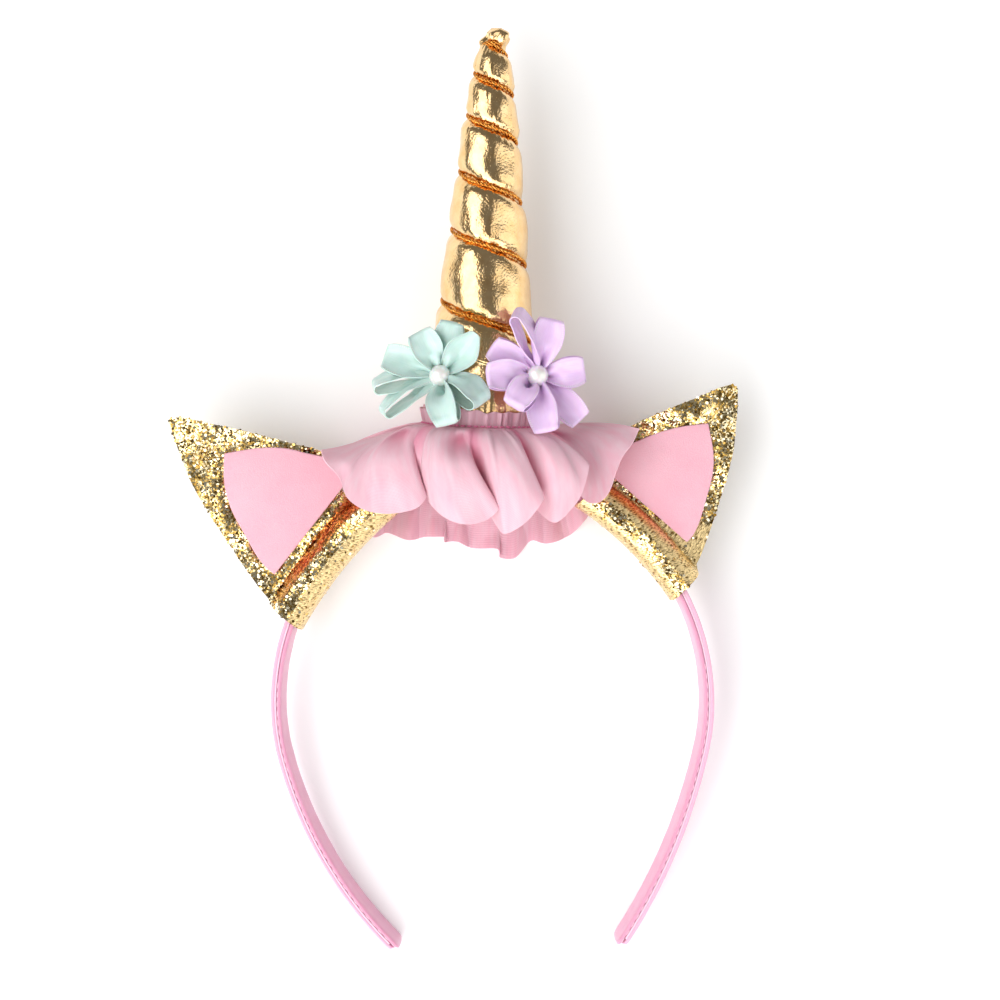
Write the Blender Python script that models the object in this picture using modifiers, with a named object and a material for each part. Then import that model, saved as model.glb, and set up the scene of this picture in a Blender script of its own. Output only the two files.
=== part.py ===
"""A unicorn horn headband, lying on its back with its front up.

A satin-covered band carries a stuffed horn wound with a cord, a gathered ruffle in a front and a back
half, two ribbon flowers with pearls, and two ears whose sheet wraps round the band. It is modelled flat,
with the band's arch in the XY plane, the horn along +Y and the front towards +Z, and an empty then tips
all of it onto the band's tips and the ruffle's flattened back. All lengths are in metres.
"""

import math

import bmesh
import bpy
from mathutils import Matrix, Vector

# Clearances
GAP = 0.0003
SLEEVE_CLEARANCE = 0.0004

# Meshing: sharp edges in degrees, welding distance of curve caps, steps of a rounded outline
SHARP_ANGLE = 40.0
WELD_DISTANCE = 1e-6
OUTLINE_STEPS = 4

# Band: a covered strip outside and a ribbon lining inside
ARCH_HALF_WIDTH = 0.0627
ARCH_HEIGHT = 0.0665
BAND_WIDTH = 0.0090
BAND_COVER = 0.0014
BAND_LINING = 0.0014
BAND_CORNER = 0.0004
BAND_SPLAY = 7.0
LEG_LENGTH = 0.0620
LINING_OVERHANG = 0.0008
TIP_ROUNDING = 0.0024
# share of the tip's rounding, share of the full section
TIP_SECTION = ((0.00, 0.62), (0.15, 0.82), (0.45, 0.95), (1.00, 1.00))
# side, degrees below the horizontal where the leg starts, radius of the leg
LEGS = {"right": (12.0, 0.170), "left": (14.8, 0.122)}
ARCH_STEPS = 26
LEG_STEPS = 8

# Horn, along its own leaning axis
HORN_LENGTH = 0.1230
HORN_RADIUS = 0.0146
HORN_PUFF = 0.0007
PUFF_ROUNDNESS = 1.3
HORN_LEAN = 1.9
HORN_BASE_X = -0.0037
HORN_SIDES = 18
HORN_RINGS = 40
HORN_NECK = 0.932
# share of the length, share of the radius
HORN_PROFILE = (
    (0.000, 0.80),
    (0.012, 0.89),
    (0.054, 0.97),
    (0.102, 1.00),
    (0.167, 0.99),
    (0.224, 0.96),
    (0.346, 0.866),
    (0.655, 0.589),
    (0.838, 0.418),
    (0.932, 0.288),
    (0.962, 0.185),
    (0.982, 0.215),
    (0.995, 0.15),
    (1.000, 0.06),
)
# cord turns counted from the tip, share of the horn's length where each crosses the front
HORN_TURNS = (
    (0.0, 0.963),
    (1.0, 0.876),
    (2.0, 0.776),
    (3.0, 0.642),
    (4.0, 0.508),
    (5.0, 0.338),
    (6.0, 0.151),
)
CORD_DIAMETER = 0.0015
CORD_START = -0.2
CORD_END = 5.75
CORD_POINTS_PER_TURN = 15

# Ruffle, gathered round the horn
RUFFLE_WALL = 0.0010
GATHER_HEIGHT = 0.0120
HEADING_HEIGHT = 0.0055
HEADING_FLARE = 0.0005
RUFFLE_REACH = 0.0480
RUFFLE_DROP = 0.0300
RUFFLE_LIFT = 0.0250
RUFFLE_PLEAT = 0.0004
RUFFLE_PLEATS = 11
RUFFLE_SIDE_GAP = 5.0
RUFFLE_COLUMNS = 44
RUFFLE_ROWS = 6
HEADING_ROWS = 2
FRONT_FULLNESS = 0.55
BACK_FULLNESS = 0.30
BACK_FOLD = 0.0012
BACK_FOLDS = 7
# front hem, left to right: share along, then reach to the side, drop and lift as shares
FRONT_HEM = (
    (0.00, -0.88, 0.05, 0.34),
    (0.07, -0.98, 0.25, 0.36),
    (0.16, -0.91, 0.55, 0.46),
    (0.25, -0.74, 0.80, 0.62),
    (0.33, -0.56, 0.80, 0.68),
    (0.39, -0.41, 0.62, 0.50),
    (0.46, -0.32, 0.77, 0.78),
    (0.54, -0.12, 0.89, 0.98),
    (0.60, 0.03, 0.75, 0.78),
    (0.65, 0.11, 0.95, 0.80),
    (0.70, 0.24, 0.86, 0.88),
    (0.74, 0.32, 0.68, 0.64),
    (0.79, 0.43, 0.86, 0.84),
    (0.86, 0.60, 0.60, 0.66),
    (0.89, 0.62, 0.48, 0.48),
    (0.93, 0.71, 0.66, 0.54),
    (0.97, 0.86, 0.32, 0.42),
    (1.00, 0.90, 0.00, 0.34),
)
# back hem, left to right: share along, then reach to the side, drop and depth as shares
BACK_HEM = (
    (0.00, -0.78, 0.20, 0.36),
    (0.10, -0.82, 0.55, 0.48),
    (0.20, -0.70, 0.98, 0.62),
    (0.30, -0.50, 1.10, 0.66),
    (0.40, -0.27, 1.08, 0.66),
    (0.50, -0.06, 1.20, 0.66),
    (0.58, 0.10, 1.27, 0.66),
    (0.66, 0.27, 1.10, 0.66),
    (0.76, 0.48, 1.08, 0.66),
    (0.86, 0.68, 0.88, 0.60),
    (0.94, 0.80, 0.45, 0.46),
    (1.00, 0.78, 0.12, 0.36),
)

# Ears: one sheet, with a plate that stands out from the band and a sleeve round it
EAR_SHEET = 0.0012
EAR_PLATE = 0.0016
EAR_WIDTH = 0.0440
SLEEVE_DEPTH = 0.0125
SLEEVE_HALF_HEIGHT = 0.0062
SLEEVE_BOW = 0.0020
SLEEVE_STEPS = 8
SLEEVE_OVERRUN = 0.0040
HOLLOW_CORNER = 0.84
HOLLOW_ROUNDING = 0.0006
PANEL_WALL = 0.0010
# side, directions of the sleeve's lower and upper end in degrees, plate's turn, plate's length
EARS = {
    "left": (158.7, 115.8, 2.8, 0.0655),
    "right": (30.1, 67.6, -2.0, 0.0605),
}
# outward as a share of the sleeve's depth, height as a share of its half height
SLEEVE_SECTION = (
    (0.00, 0.70),
    (0.06, 0.92),
    (0.17, 1.00),
    (0.54, 1.00),
    (0.65, 0.84),
    (0.76, 0.50),
    (0.88, 0.16),
    (1.00, 0.10),
)
# outward as a share of what stands out of the sleeve, along as a share of the width, corner or not
PLATE_OUTLINE = (
    (-0.050, 0.020, True),
    (0.067, 0.050, False),
    (0.315, 0.150, False),
    (0.681, 0.325, False),
    (0.876, 0.475, False),
    (1.000, 0.590, True),
    (0.922, 0.650, False),
    (0.654, 0.805, False),
    (0.389, 0.935, False),
    (0.258, 1.000, False),
    (0.135, 0.995, False),
    (-0.050, 0.985, True),
)
PANEL_OUTLINE = (
    (0.055, 0.185, True),
    (0.123, 0.190, False),
    (0.304, 0.275, False),
    (0.506, 0.405, False),
    (0.657, 0.605, True),
    (0.506, 0.742, False),
    (0.320, 0.853, False),
    (0.120, 0.918, False),
    (0.045, 0.820, True),
)

# Ribbon flowers
PETAL_WALL = 0.0008
PETAL_WIDTH = 0.0095
PETAL_ROOT_WIDTH = 0.0013
PETAL_LAYER = 0.0016
PETAL_SPREAD = 0.55
RIBBON_OUT = 0.60
RIBBON_BEND = 0.20
RIBBON_SINK = 0.50
PETAL_ALONG = 8
PETAL_ACROSS = 4
PEARL_DIAMETER = 0.0060
PEARL_SEAT = 0.0016
PEARL_SEGMENTS = 12
PEARL_RINGS = 8
# form: twist in degrees, width, loop radius, loop return and edge rise as shares, layers below
PETAL_FORMS = {
    "wide": (8.0, 0.96, 0.07, 0.28, 0.10, 0),
    "behind": (-4.0, 0.80, 0.0, 0.0, 0.08, 1),
    "dish": (14.0, 1.00, 0.0, 0.0, 0.26, 0),
    "narrow": (74.0, 0.70, 0.06, 0.30, 0.0, 0),
    "curled": (-18.0, 0.80, 0.09, 0.35, 0.06, 0),
    "cup": (12.0, 0.80, 0.12, 0.45, 0.16, 0),
}
# flower: centre x, height above the horn's seat, and height in front of the band's middle
FLOWER_CENTRES = {
    "mint": (-0.0146, 0.0265, 0.0118),
    "lilac": (0.0125, 0.0265, 0.0110),
}
# direction and lift in degrees, length, form
FLOWER_PETALS = {
    "mint": (
        (116, 13, 0.0140, "wide"),
        (76, 15, 0.0160, "behind"),
        (50, 24, 0.0170, "dish"),
        (-38, 27, 0.0162, "curled"),
        (-78, 30, 0.0166, "cup"),
        (-141, 8, 0.0192, "narrow"),
        (-165, 4, 0.0188, "narrow"),
        (161, 3, 0.0163, "wide"),
    ),
    "lilac": (
        (114, 21, 0.0200, "narrow"),
        (77, 6, 0.0163, "wide"),
        (8, 3, 0.0132, "wide"),
        (-46, 8, 0.0176, "behind"),
        (-80, 26, 0.0178, "wide"),
        (-127, 34, 0.0140, "cup"),
        (180, 29, 0.0166, "wide"),
        (147, 26, 0.0172, "behind"),
    ),
}

# colour, roughness, metallic
FINISHES = {
    "pink_satin": ((0.86, 0.45, 0.60), 0.45, 0.0),
    "pink_lining": ((0.75, 0.36, 0.52), 0.55, 0.0),
    "gold_lame": ((0.83, 0.58, 0.26), 0.28, 1.0),
    "gold_cord": ((0.80, 0.42, 0.10), 0.40, 1.0),
    "pink_chiffon": ((0.98, 0.62, 0.72), 0.80, 0.0),
    "gold_glitter": ((0.80, 0.62, 0.28), 0.35, 1.0),
    "pink_felt": ((0.98, 0.70, 0.78), 0.85, 0.0),
    "mint_ribbon": ((0.62, 0.85, 0.78), 0.40, 0.0),
    "lilac_ribbon": ((0.80, 0.62, 0.88), 0.40, 0.0),
    "pearl": ((0.93, 0.90, 0.85), 0.20, 0.0),
}

BAND_THICKNESS = BAND_COVER + GAP + BAND_LINING
CORD_RADIUS = CORD_DIAMETER / 2
SPLAY_SLOPE = math.tan(math.radians(BAND_SPLAY))
HORN_SEAT_Y = ARCH_HEIGHT + BAND_WIDTH / 2 * SPLAY_SLOPE + GAP
HORN_AXIS = Vector((math.sin(math.radians(HORN_LEAN)), math.cos(math.radians(HORN_LEAN)), 0))
HORN_SIDE = Vector((HORN_AXIS.y, -HORN_AXIS.x, 0))
HORN_BASE = Vector((HORN_BASE_X, HORN_SEAT_Y, 0))
FRONT = Vector((0, 0, 1))
GATHER_RADIUS = HORN_RADIUS + GAP + RUFFLE_PLEAT + RUFFLE_WALL / 2


def collection(name):
    """A new collection in the scene."""
    made = bpy.data.collections.new(name)
    bpy.context.scene.collection.children.link(made)
    return made


def material(name):
    """The Principled material of a finish, made the first time it is asked for."""
    if name in bpy.data.materials:
        return bpy.data.materials[name]
    colour, roughness, metallic = FINISHES[name]
    made = bpy.data.materials.new(name)
    made.use_nodes = True
    shader = made.node_tree.nodes["Principled BSDF"]
    shader.inputs["Base Color"].default_value = (*colour, 1)
    shader.inputs["Roughness"].default_value = roughness
    shader.inputs["Metallic"].default_value = metallic
    return made


def place(name, data, where, finish=None):
    """An object with this data in a collection, dressed in a finish."""
    made = bpy.data.objects.new(name, data)
    where.objects.link(made)
    if finish:
        data.materials.append(material(finish))
    return made


def hide(guide):
    """Marks an object as a guide or a cutter, which is no piece of the headband."""
    guide.hide_render = True
    guide.display_type = "WIRE"
    return guide


def mesh_of(bm, name):
    """A smooth-shaded mesh from a bmesh, which is freed."""
    mesh = bpy.data.meshes.new(name)
    bm.to_mesh(mesh)
    bm.free()
    mesh.shade_smooth()
    mesh.set_sharp_from_angle(angle=math.radians(SHARP_ANGLE))
    return mesh


def slope(table, row, column):
    """How fast a column changes at a row, along the table's first column."""
    before, after = table[max(row - 1, 0)], table[min(row + 1, len(table) - 1)]
    return (after[column] - before[column]) / (after[0] - before[0])


def read(table, at):
    """The other columns of a table where its first column is at, on a smooth curve through its rows."""
    row = 0
    while row < len(table) - 2 and at > table[row + 1][0]:
        row += 1
    low, high = table[row], table[row + 1]
    span = high[0] - low[0]
    s = (at - low[0]) / span
    weights = (
        2 * s**3 - 3 * s**2 + 1,
        span * (s**3 - 2 * s**2 + s),
        3 * s**2 - 2 * s**3,
        span * (s**3 - s**2),
    )
    values = []
    for k in range(1, len(low)):
        terms = (low[k], slope(table, row, k), high[k], slope(table, row + 1, k))
        values.append(sum(w * t for w, t in zip(weights, terms)))
    return values


def outline_curve(name, points, where, cyclic=True):
    """A flat POLY curve through points, closed unless cyclic is false."""
    curve = bpy.data.curves.new(name, "CURVE")
    curve.dimensions = "2D"
    spline = curve.splines.new("POLY")
    spline.points.add(len(points) - 1)
    for corner, (x, y) in zip(spline.points, points):
        corner.co = (x, y, 0, 1)
    spline.use_cyclic_u = cyclic
    return place(name, curve, where)


def sweep(name, line, outline, parts, guides, radii=None):
    """A profile swept along a line in the XY plane that runs anticlockwise, with +X of it outwards."""
    curve = bpy.data.curves.new(name, "CURVE")
    curve.dimensions = "3D"
    curve.twist_mode = "Z_UP"
    spline = curve.splines.new("POLY")
    spline.points.add(len(line) - 1)
    for i, (point, at) in enumerate(zip(spline.points, line)):
        point.co = (*at, 1)
        point.radius = radii[i] if radii else 1
    curve.bevel_mode = "OBJECT"
    curve.bevel_object = hide(outline_curve(name + "_profile", outline[::-1], guides))
    curve.use_fill_caps = True
    return place(name, curve, parts)


def solid_from(source, where):
    """A mesh object in place of a curve object, with its caps welded to its sides."""
    graph = bpy.context.evaluated_depsgraph_get()
    mesh = bpy.data.meshes.new_from_object(source.evaluated_get(graph))
    bm = bmesh.new()
    bm.from_mesh(mesh)
    bmesh.ops.remove_doubles(bm, verts=bm.verts, dist=WELD_DISTANCE)
    bmesh.ops.recalc_face_normals(bm, faces=bm.faces)
    bm.to_mesh(mesh)
    bm.free()
    name = source.name
    matrix = source.matrix_world.copy()
    bpy.data.objects.remove(source)
    made = bpy.data.objects.new(name, mesh)
    made.matrix_world = matrix
    where.objects.link(made)
    return made


def loft(name, rings):
    """A closed mesh through rings of equally many points, with its two ends capped."""
    bm = bmesh.new()
    made = [[bm.verts.new(point) for point in ring] for ring in rings]
    for low, high in zip(made, made[1:]):
        for i, corner in enumerate(low):
            j = (i + 1) % len(low)
            bm.faces.new((corner, low[j], high[j], high[i]))
    bm.faces.new(made[0])
    bm.faces.new(made[-1])
    bmesh.ops.recalc_face_normals(bm, faces=bm.faces)
    return mesh_of(bm, name)


def sheet(name, columns, rows, at, wall, where, finish):
    """Cloth of an even wall: a grid whose points are placed by at(u, v), with u and v from 0 to 1."""
    bm = bmesh.new()
    bmesh.ops.create_grid(bm, x_segments=columns, y_segments=rows, size=0.5)
    for vert in bm.verts:
        vert.co = at(vert.co.x + 0.5, vert.co.y + 0.5)
    bmesh.ops.recalc_face_normals(bm, faces=bm.faces)
    made = place(name, mesh_of(bm, name), where, finish)
    thicken = made.modifiers.new("wall", "SOLIDIFY")
    thicken.thickness = wall
    thicken.offset = 0
    return made


def leg(side, inset):
    """Points of a leg's line, from its tip up to where the arch starts, on the right side of the opening."""
    bend, radius = LEGS[side]
    start = math.radians(bend)
    turn = LEG_LENGTH / radius
    out = Vector((math.cos(start), -math.sin(start), 0))
    centre = out * (ARCH_HALF_WIDTH - radius)
    shares = [1 - row[0] * TIP_ROUNDING / LEG_LENGTH for row in TIP_SECTION]
    last = shares[-1]
    shares += [last * (1 - i / LEG_STEPS) for i in range(1, LEG_STEPS)]
    points = []
    for share in shares:
        a = start + turn * share
        points.append(centre + Vector((math.cos(a), -math.sin(a), 0)) * (radius - inset))
    return points


def arch_point(degrees, inset=0.0):
    """A point of the arch, by its direction from the opening's middle, on its outer line less an inset."""
    a = math.radians(degrees)
    height = ARCH_HEIGHT if math.sin(a) > 0 else ARCH_HALF_WIDTH
    x, y = math.cos(a) / (ARCH_HALF_WIDTH - inset), math.sin(a) / (height - inset)
    return Vector((math.cos(a), math.sin(a), 0)) / math.hypot(x, y)


def band_line(overhang=0.0):
    """The middle of the band's thickness, from the right tip over the crown to the left tip."""
    inset = BAND_THICKNESS / 2
    right, left = leg("right", inset), leg("left", inset)
    left = [Vector((-p.x, p.y, 0)) for p in left]
    low, high = -LEGS["right"][0], 180 + LEGS["left"][0]
    arch = [arch_point(low + (high - low) * i / ARCH_STEPS, inset) for i in range(ARCH_STEPS + 1)]
    line = right + arch + left[::-1]
    for end, inner in ((0, len(TIP_SECTION)), (-1, -1 - len(TIP_SECTION))):
        line[end] += (line[end] - line[inner]).normalized() * overhang
    return line


def band_profile(inner, outer):
    """The section of one strip of the band, between two distances out from the band's middle."""
    half = BAND_WIDTH / 2
    c = BAND_CORNER
    corners = (
        (inner, -half + c),
        (inner + c, -half),
        (outer - c, -half),
        (outer, -half + c),
        (outer, half - c),
        (outer - c, half),
        (inner + c, half),
        (inner, half - c),
    )
    return [(x + z * SPLAY_SLOPE, z) for x, z in corners]


def make_band(parts, guides):
    """The satin-covered band and the ribbon lining inside it."""
    strips = (
        ("headband", GAP / 2, GAP / 2 + BAND_COVER, 0.0, "pink_satin"),
        ("band_lining", -GAP / 2 - BAND_LINING, -GAP / 2, LINING_OVERHANG, "pink_lining"),
    )
    tip = [row[1] for row in TIP_SECTION]
    for name, inner, outer, overhang, finish in strips:
        line = band_line(overhang)
        radii = tip + [1.0] * (len(line) - 2 * len(tip)) + tip[::-1]
        made = sweep(name, line, band_profile(inner, outer), parts, guides, radii)
        made.data.materials.append(material(finish))


def horn_point(share, degrees, radius):
    """A point at a share of the horn's length, an angle round it (90 is the front) and a radius."""
    a = math.radians(degrees)
    along = HORN_BASE + HORN_AXIS * (HORN_LENGTH * share)
    return along + HORN_SIDE * (radius * math.cos(a)) + FRONT * (radius * math.sin(a))


def turns_at(share):
    """How many turns of the cord lie between the tip and a share of the horn's length, at its front."""
    if share > HORN_TURNS[0][1]:
        return 0.0
    for high, low in zip(HORN_TURNS, HORN_TURNS[1:]):
        if share >= low[1]:
            return high[0] + (high[1] - share) / (high[1] - low[1])
    return HORN_TURNS[-1][0]


def puff_at(share, degrees):
    """How far the stuffing swells the horn between two turns of the cord."""
    phase = turns_at(share) - (90 - degrees) / 360
    inside = HORN_TURNS[-1][1] < share < HORN_TURNS[0][1]
    return HORN_PUFF * abs(math.sin(math.pi * phase)) ** PUFF_ROUNDNESS if inside else 0.0


def make_horn(parts):
    """The stuffed horn: rings that follow its profile and swell between the turns of the cord."""
    shares = [HORN_NECK * i / HORN_RINGS for i in range(HORN_RINGS + 1)]
    shares += [row[0] for row in HORN_PROFILE if row[0] > HORN_NECK]
    rings = []
    for share in shares:
        radius = read(HORN_PROFILE, share)[0] * HORN_RADIUS
        ring = []
        for k in range(HORN_SIDES):
            degrees = 360 * k / HORN_SIDES
            ring.append(horn_point(share, degrees, radius + puff_at(share, degrees)))
        rings.append(ring)
    place("horn", loft("horn", rings), parts, "gold_lame")


def make_cord(parts):
    """The metallic cord, wound down the horn in the creases between its puffs."""
    count = round((CORD_END - CORD_START) * CORD_POINTS_PER_TURN)
    curve = bpy.data.curves.new("horn_cord", "CURVE")
    curve.dimensions = "3D"
    spline = curve.splines.new("POLY")
    spline.points.add(count)
    outside = 1 / math.cos(math.pi / CORD_POINTS_PER_TURN)
    reach = CORD_DIAMETER / HORN_LENGTH
    for i, point in enumerate(spline.points):
        turn = CORD_START + (CORD_END - CORD_START) * i / count
        share = read(HORN_TURNS, max(turn, 0.0))[0]
        nearby = (share - reach, share, share + reach)
        crease = max(read(HORN_PROFILE, s)[0] for s in nearby) * HORN_RADIUS + HORN_PUFF / 4
        radius = (crease + GAP) * outside + CORD_RADIUS
        point.co = (*horn_point(share, 90 - 360 * turn, radius), 1)
    curve.bevel_depth = CORD_RADIUS
    curve.bevel_resolution = 2
    curve.use_fill_caps = True
    place("horn_cord", curve, parts, "gold_cord")


def floor_slope():
    """The rise of the surface under the headband, from the tips' back edges to the ruffle's gather."""
    tip_y = min(p.y for p in band_line())
    bed = GATHER_RADIUS + RUFFLE_WALL / 2 + GAP
    gather_y = HORN_SEAT_Y + GATHER_HEIGHT
    return tip_y, (bed - BAND_WIDTH / 2) / (gather_y - tip_y)


def floor_depth(y):
    """How far behind the band's middle the surface lies at a height y, in the flat frame."""
    tip_y, rise = floor_slope()
    return BAND_WIDTH / 2 + (y - tip_y) * rise


def ruffle_point(u, v, side, hem, fullness):
    """A point of a ruffle half: v runs from the heading's top over the gather to the hem."""
    gathered = HEADING_ROWS / RUFFLE_ROWS
    sweep_from = 180 - RUFFLE_SIDE_GAP if side > 0 else 180 + RUFFLE_SIDE_GAP
    sweep_to = RUFFLE_SIDE_GAP if side > 0 else 360 - RUFFLE_SIDE_GAP
    degrees = sweep_from + (sweep_to - sweep_from) * u
    pleat = RUFFLE_PLEAT * math.sin(2 * math.pi * RUFFLE_PLEATS * u)
    height = GATHER_HEIGHT / HORN_LENGTH
    gather = horn_point(height, degrees, GATHER_RADIUS + pleat)
    if v <= gathered:
        up = 1 - v / gathered
        radius = GATHER_RADIUS + HEADING_FLARE * up + pleat
        return horn_point(height + HEADING_HEIGHT / HORN_LENGTH * up, degrees, radius)
    s = (v - gathered) / (1 - gathered)
    reach, drop, lift = read(hem, u)
    end = horn_point(height, 90, 0)
    end += Vector((reach * RUFFLE_REACH, -drop * RUFFLE_DROP, side * lift * RUFFLE_LIFT))
    out = (gather - horn_point(height, degrees, 0)).normalized()
    knee = gather + out * ((end - gather).length * fullness)
    return gather * (1 - s) ** 2 + knee * (2 * s * (1 - s)) + end * s**2


def front_point(u, v):
    """A point of the ruffle's front half."""
    return ruffle_point(u, v, 1, FRONT_HEM, FRONT_FULLNESS)


def back_point(u, v):
    """A point of the ruffle's back half, which lies flattened on the surface under the headband."""
    point = ruffle_point(u, v, -1, BACK_HEM, BACK_FULLNESS)
    gathered = HEADING_ROWS / RUFFLE_ROWS
    s = max(0.0, (v - gathered) / (1 - gathered))
    fold = max(0.0, math.sin(2 * math.pi * BACK_FOLDS * u)) * BACK_FOLD * math.sin(math.pi * s)
    lowest = RUFFLE_WALL / 2 + fold - floor_depth(point.y)
    point.z = max(point.z, lowest)
    return point


def make_ruffle(parts):
    """The ruffle's two halves, gathered round the horn's foot."""
    for name, at in (("ruffle_front", front_point), ("ruffle_back", back_point)):
        sheet(name, RUFFLE_COLUMNS, RUFFLE_ROWS, at, RUFFLE_WALL, parts, "pink_chiffon")


def ear_frame(side):
    """The ear's frame: X along the sleeve from its lower to its upper end, Y outwards, Z to the front."""
    low_degrees, high_degrees, turn, length = EARS[side]
    inset = BAND_THICKNESS + SLEEVE_CLEARANCE + EAR_SHEET
    low, high = arch_point(low_degrees, inset), arch_point(high_degrees, inset)
    along = (high - low).normalized()
    out = Vector((-along.y, along.x, 0))
    if out.dot(low) < 0:
        out = -out
    frame = Matrix((along, out, FRONT)).transposed().to_4x4()
    frame.translation = low
    return frame, (high - low).length


def sleeve_line(side, extra):
    """The sleeve's line along its inner side, bowed outwards, longer by extra at each end."""
    frame, length = ear_frame(side)
    points = []
    for i in range(SLEEVE_STEPS + 1):
        t = -extra + (length + 2 * extra) * i / SLEEVE_STEPS
        bow = SLEEVE_BOW * (1 - (2 * t / length - 1) ** 2)
        points.append(frame @ Vector((t, bow, 0)))
    angles = [math.atan2(p.y, p.x) for p in points]
    return points if angles[0] < angles[-1] else points[::-1]


def sleeve_profile(wall):
    """The sleeve's section, a drop that closes on the plate, less a wall all round."""
    rows = [(out * SLEEVE_DEPTH, high * SLEEVE_HALF_HEIGHT) for out, high in SLEEVE_SECTION]
    if wall:
        deepest = BAND_THICKNESS + SLEEVE_BOW + 2 * SLEEVE_CLEARANCE + wall
        half = BAND_WIDTH / 2 + SLEEVE_CLEARANCE
        rows = [
            (wall, half * HOLLOW_CORNER),
            (wall + HOLLOW_ROUNDING, half),
            (deepest, half),
            (deepest + HOLLOW_ROUNDING, half * HOLLOW_CORNER),
        ]
    front = [(x, z) for x, z in rows]
    back = [(x, -z) for x, z in reversed(rows)]
    return [(x + z * SPLAY_SLOPE, z) for x, z in front + back]


def ear_outline(name, side, rows, thickness, where):
    """A flat piece of an ear from its outline rows, as a filled curve of this thickness."""
    frame, _ = ear_frame(side)
    _, _, turn, length = EARS[side]
    frame = frame @ Matrix.Rotation(math.radians(turn), 4, FRONT)
    curve = bpy.data.curves.new(name, "CURVE")
    curve.dimensions = "2D"
    curve.fill_mode = "BOTH"
    curve.extrude = thickness / 2
    curve.resolution_u = OUTLINE_STEPS
    spline = curve.splines.new("BEZIER")
    spline.bezier_points.add(len(rows) - 1)
    for point, (out, along, corner) in zip(spline.bezier_points, rows):
        outward = SLEEVE_DEPTH + out * (length - SLEEVE_DEPTH)
        point.co = frame @ Vector((along * EAR_WIDTH, outward, 0))
        kind = "VECTOR" if corner else "AUTO"
        point.handle_left_type = kind
        point.handle_right_type = kind
    spline.use_cyclic_u = True
    return place(name, curve, where)


def combine(target, tool, operation):
    """Adds or cuts a tool object on a target, by a Boolean modifier."""
    step = target.modifiers.new(tool.name, "BOOLEAN")
    step.operation = operation
    step.object = hide(tool)


def make_ear(side, parts, guides):
    """One ear: its plate and sleeve fused as the one sheet they are, and the panel on its front."""
    name = "ear_" + side
    sleeve = sweep(name, sleeve_line(side, 0), sleeve_profile(0), parts, guides)
    ear = solid_from(sleeve, parts)
    ear.data.materials.append(material("gold_glitter"))
    plate = solid_from(ear_outline(name + "_plate", side, PLATE_OUTLINE, EAR_PLATE, guides), guides)
    combine(ear, plate, "UNION")
    hollow = sweep(name + "_hollow", sleeve_line(side, SLEEVE_OVERRUN), sleeve_profile(EAR_SHEET), guides, guides)
    combine(ear, solid_from(hollow, guides), "DIFFERENCE")
    panel = ear_outline(name + "_panel", side, PANEL_OUTLINE, PANEL_WALL, parts)
    panel.data.materials.append(material("pink_felt"))
    panel.location.z = EAR_PLATE / 2 + GAP + PANEL_WALL / 2


def petal_root(lift, below):
    """How far from the flower's middle a petal starts, to lie just clear of the pearl."""
    rise = PEARL_SEAT + PETAL_WALL / 2 + below
    reach = PEARL_DIAMETER / 2 + PETAL_WALL / 2 + GAP
    up = rise * math.sin(lift)
    return up + math.sqrt(max(0.0, up**2 - rise**2 + reach**2))


def petal_line(a, root, length, loop, back):
    """How far out and how high a petal's ribbon runs, at a share a of its way out and back."""
    if not loop:
        return root + (length - root) * a, 0.0
    radius = loop * length
    straight = length - radius - root
    if a <= RIBBON_OUT:
        return root + straight * a / RIBBON_OUT, 0.0
    if a <= RIBBON_OUT + RIBBON_BEND:
        turn = math.pi * (a - RIBBON_OUT) / RIBBON_BEND
        return length - radius + radius * math.sin(turn), radius * (1 - math.cos(turn))
    rest = (a - RIBBON_OUT - RIBBON_BEND) / (1 - RIBBON_OUT - RIBBON_BEND)
    return length - radius - back * length * rest, radius * (2 - RIBBON_SINK * rest)


def petal_point(u, v, root, length, form):
    """A point of a petal along +X: u runs out along the ribbon and v across it."""
    twist, width, loop, back, rise, _ = PETAL_FORMS[form]
    x, z = petal_line(u, root, length, loop, back)
    spread = min(1.0, max(0.0, (x - root) / (PETAL_SPREAD * length)))
    spread = spread * spread * (3 - 2 * spread)
    full = PETAL_ROOT_WIDTH + (PETAL_WIDTH * width - PETAL_ROOT_WIDTH) * spread
    across = v - 0.5
    y = full * across
    z += rise * full * (2 * across) ** 2
    return Matrix.Rotation(math.radians(twist), 3, "X") @ Vector((x, y, z))


def make_flower(name, parts):
    """A ribbon flower: its petals round a pearl."""
    x, height, front = FLOWER_CENTRES[name]
    centre = Vector((x, HORN_SEAT_Y + height, front))
    for number, (direction, lift, length, form) in enumerate(FLOWER_PETALS[name], 1):
        below = PETAL_FORMS[form][-1] * PETAL_LAYER
        lift = math.radians(lift)
        root = petal_root(lift, below)

        def at(u, v, root=root, length=length, form=form):
            return petal_point(u, v, root, length, form)

        petal = sheet(
            f"{name}_petal_{number}", PETAL_ALONG, PETAL_ACROSS, at, PETAL_WALL, parts, name + "_ribbon"
        )
        turned = Matrix.Rotation(math.radians(direction), 4, "Z")
        petal.matrix_world = (
            Matrix.Translation(centre - FRONT * below) @ turned @ Matrix.Rotation(-lift, 4, "Y")
        )
    bm = bmesh.new()
    bmesh.ops.create_uvsphere(
        bm, u_segments=PEARL_SEGMENTS, v_segments=PEARL_RINGS, radius=PEARL_DIAMETER / 2
    )
    pearl = place(name + "_pearl", mesh_of(bm, name + "_pearl"), parts, "pearl")
    pearl.location = centre + FRONT * (PEARL_SEAT + PETAL_WALL / 2)


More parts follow.
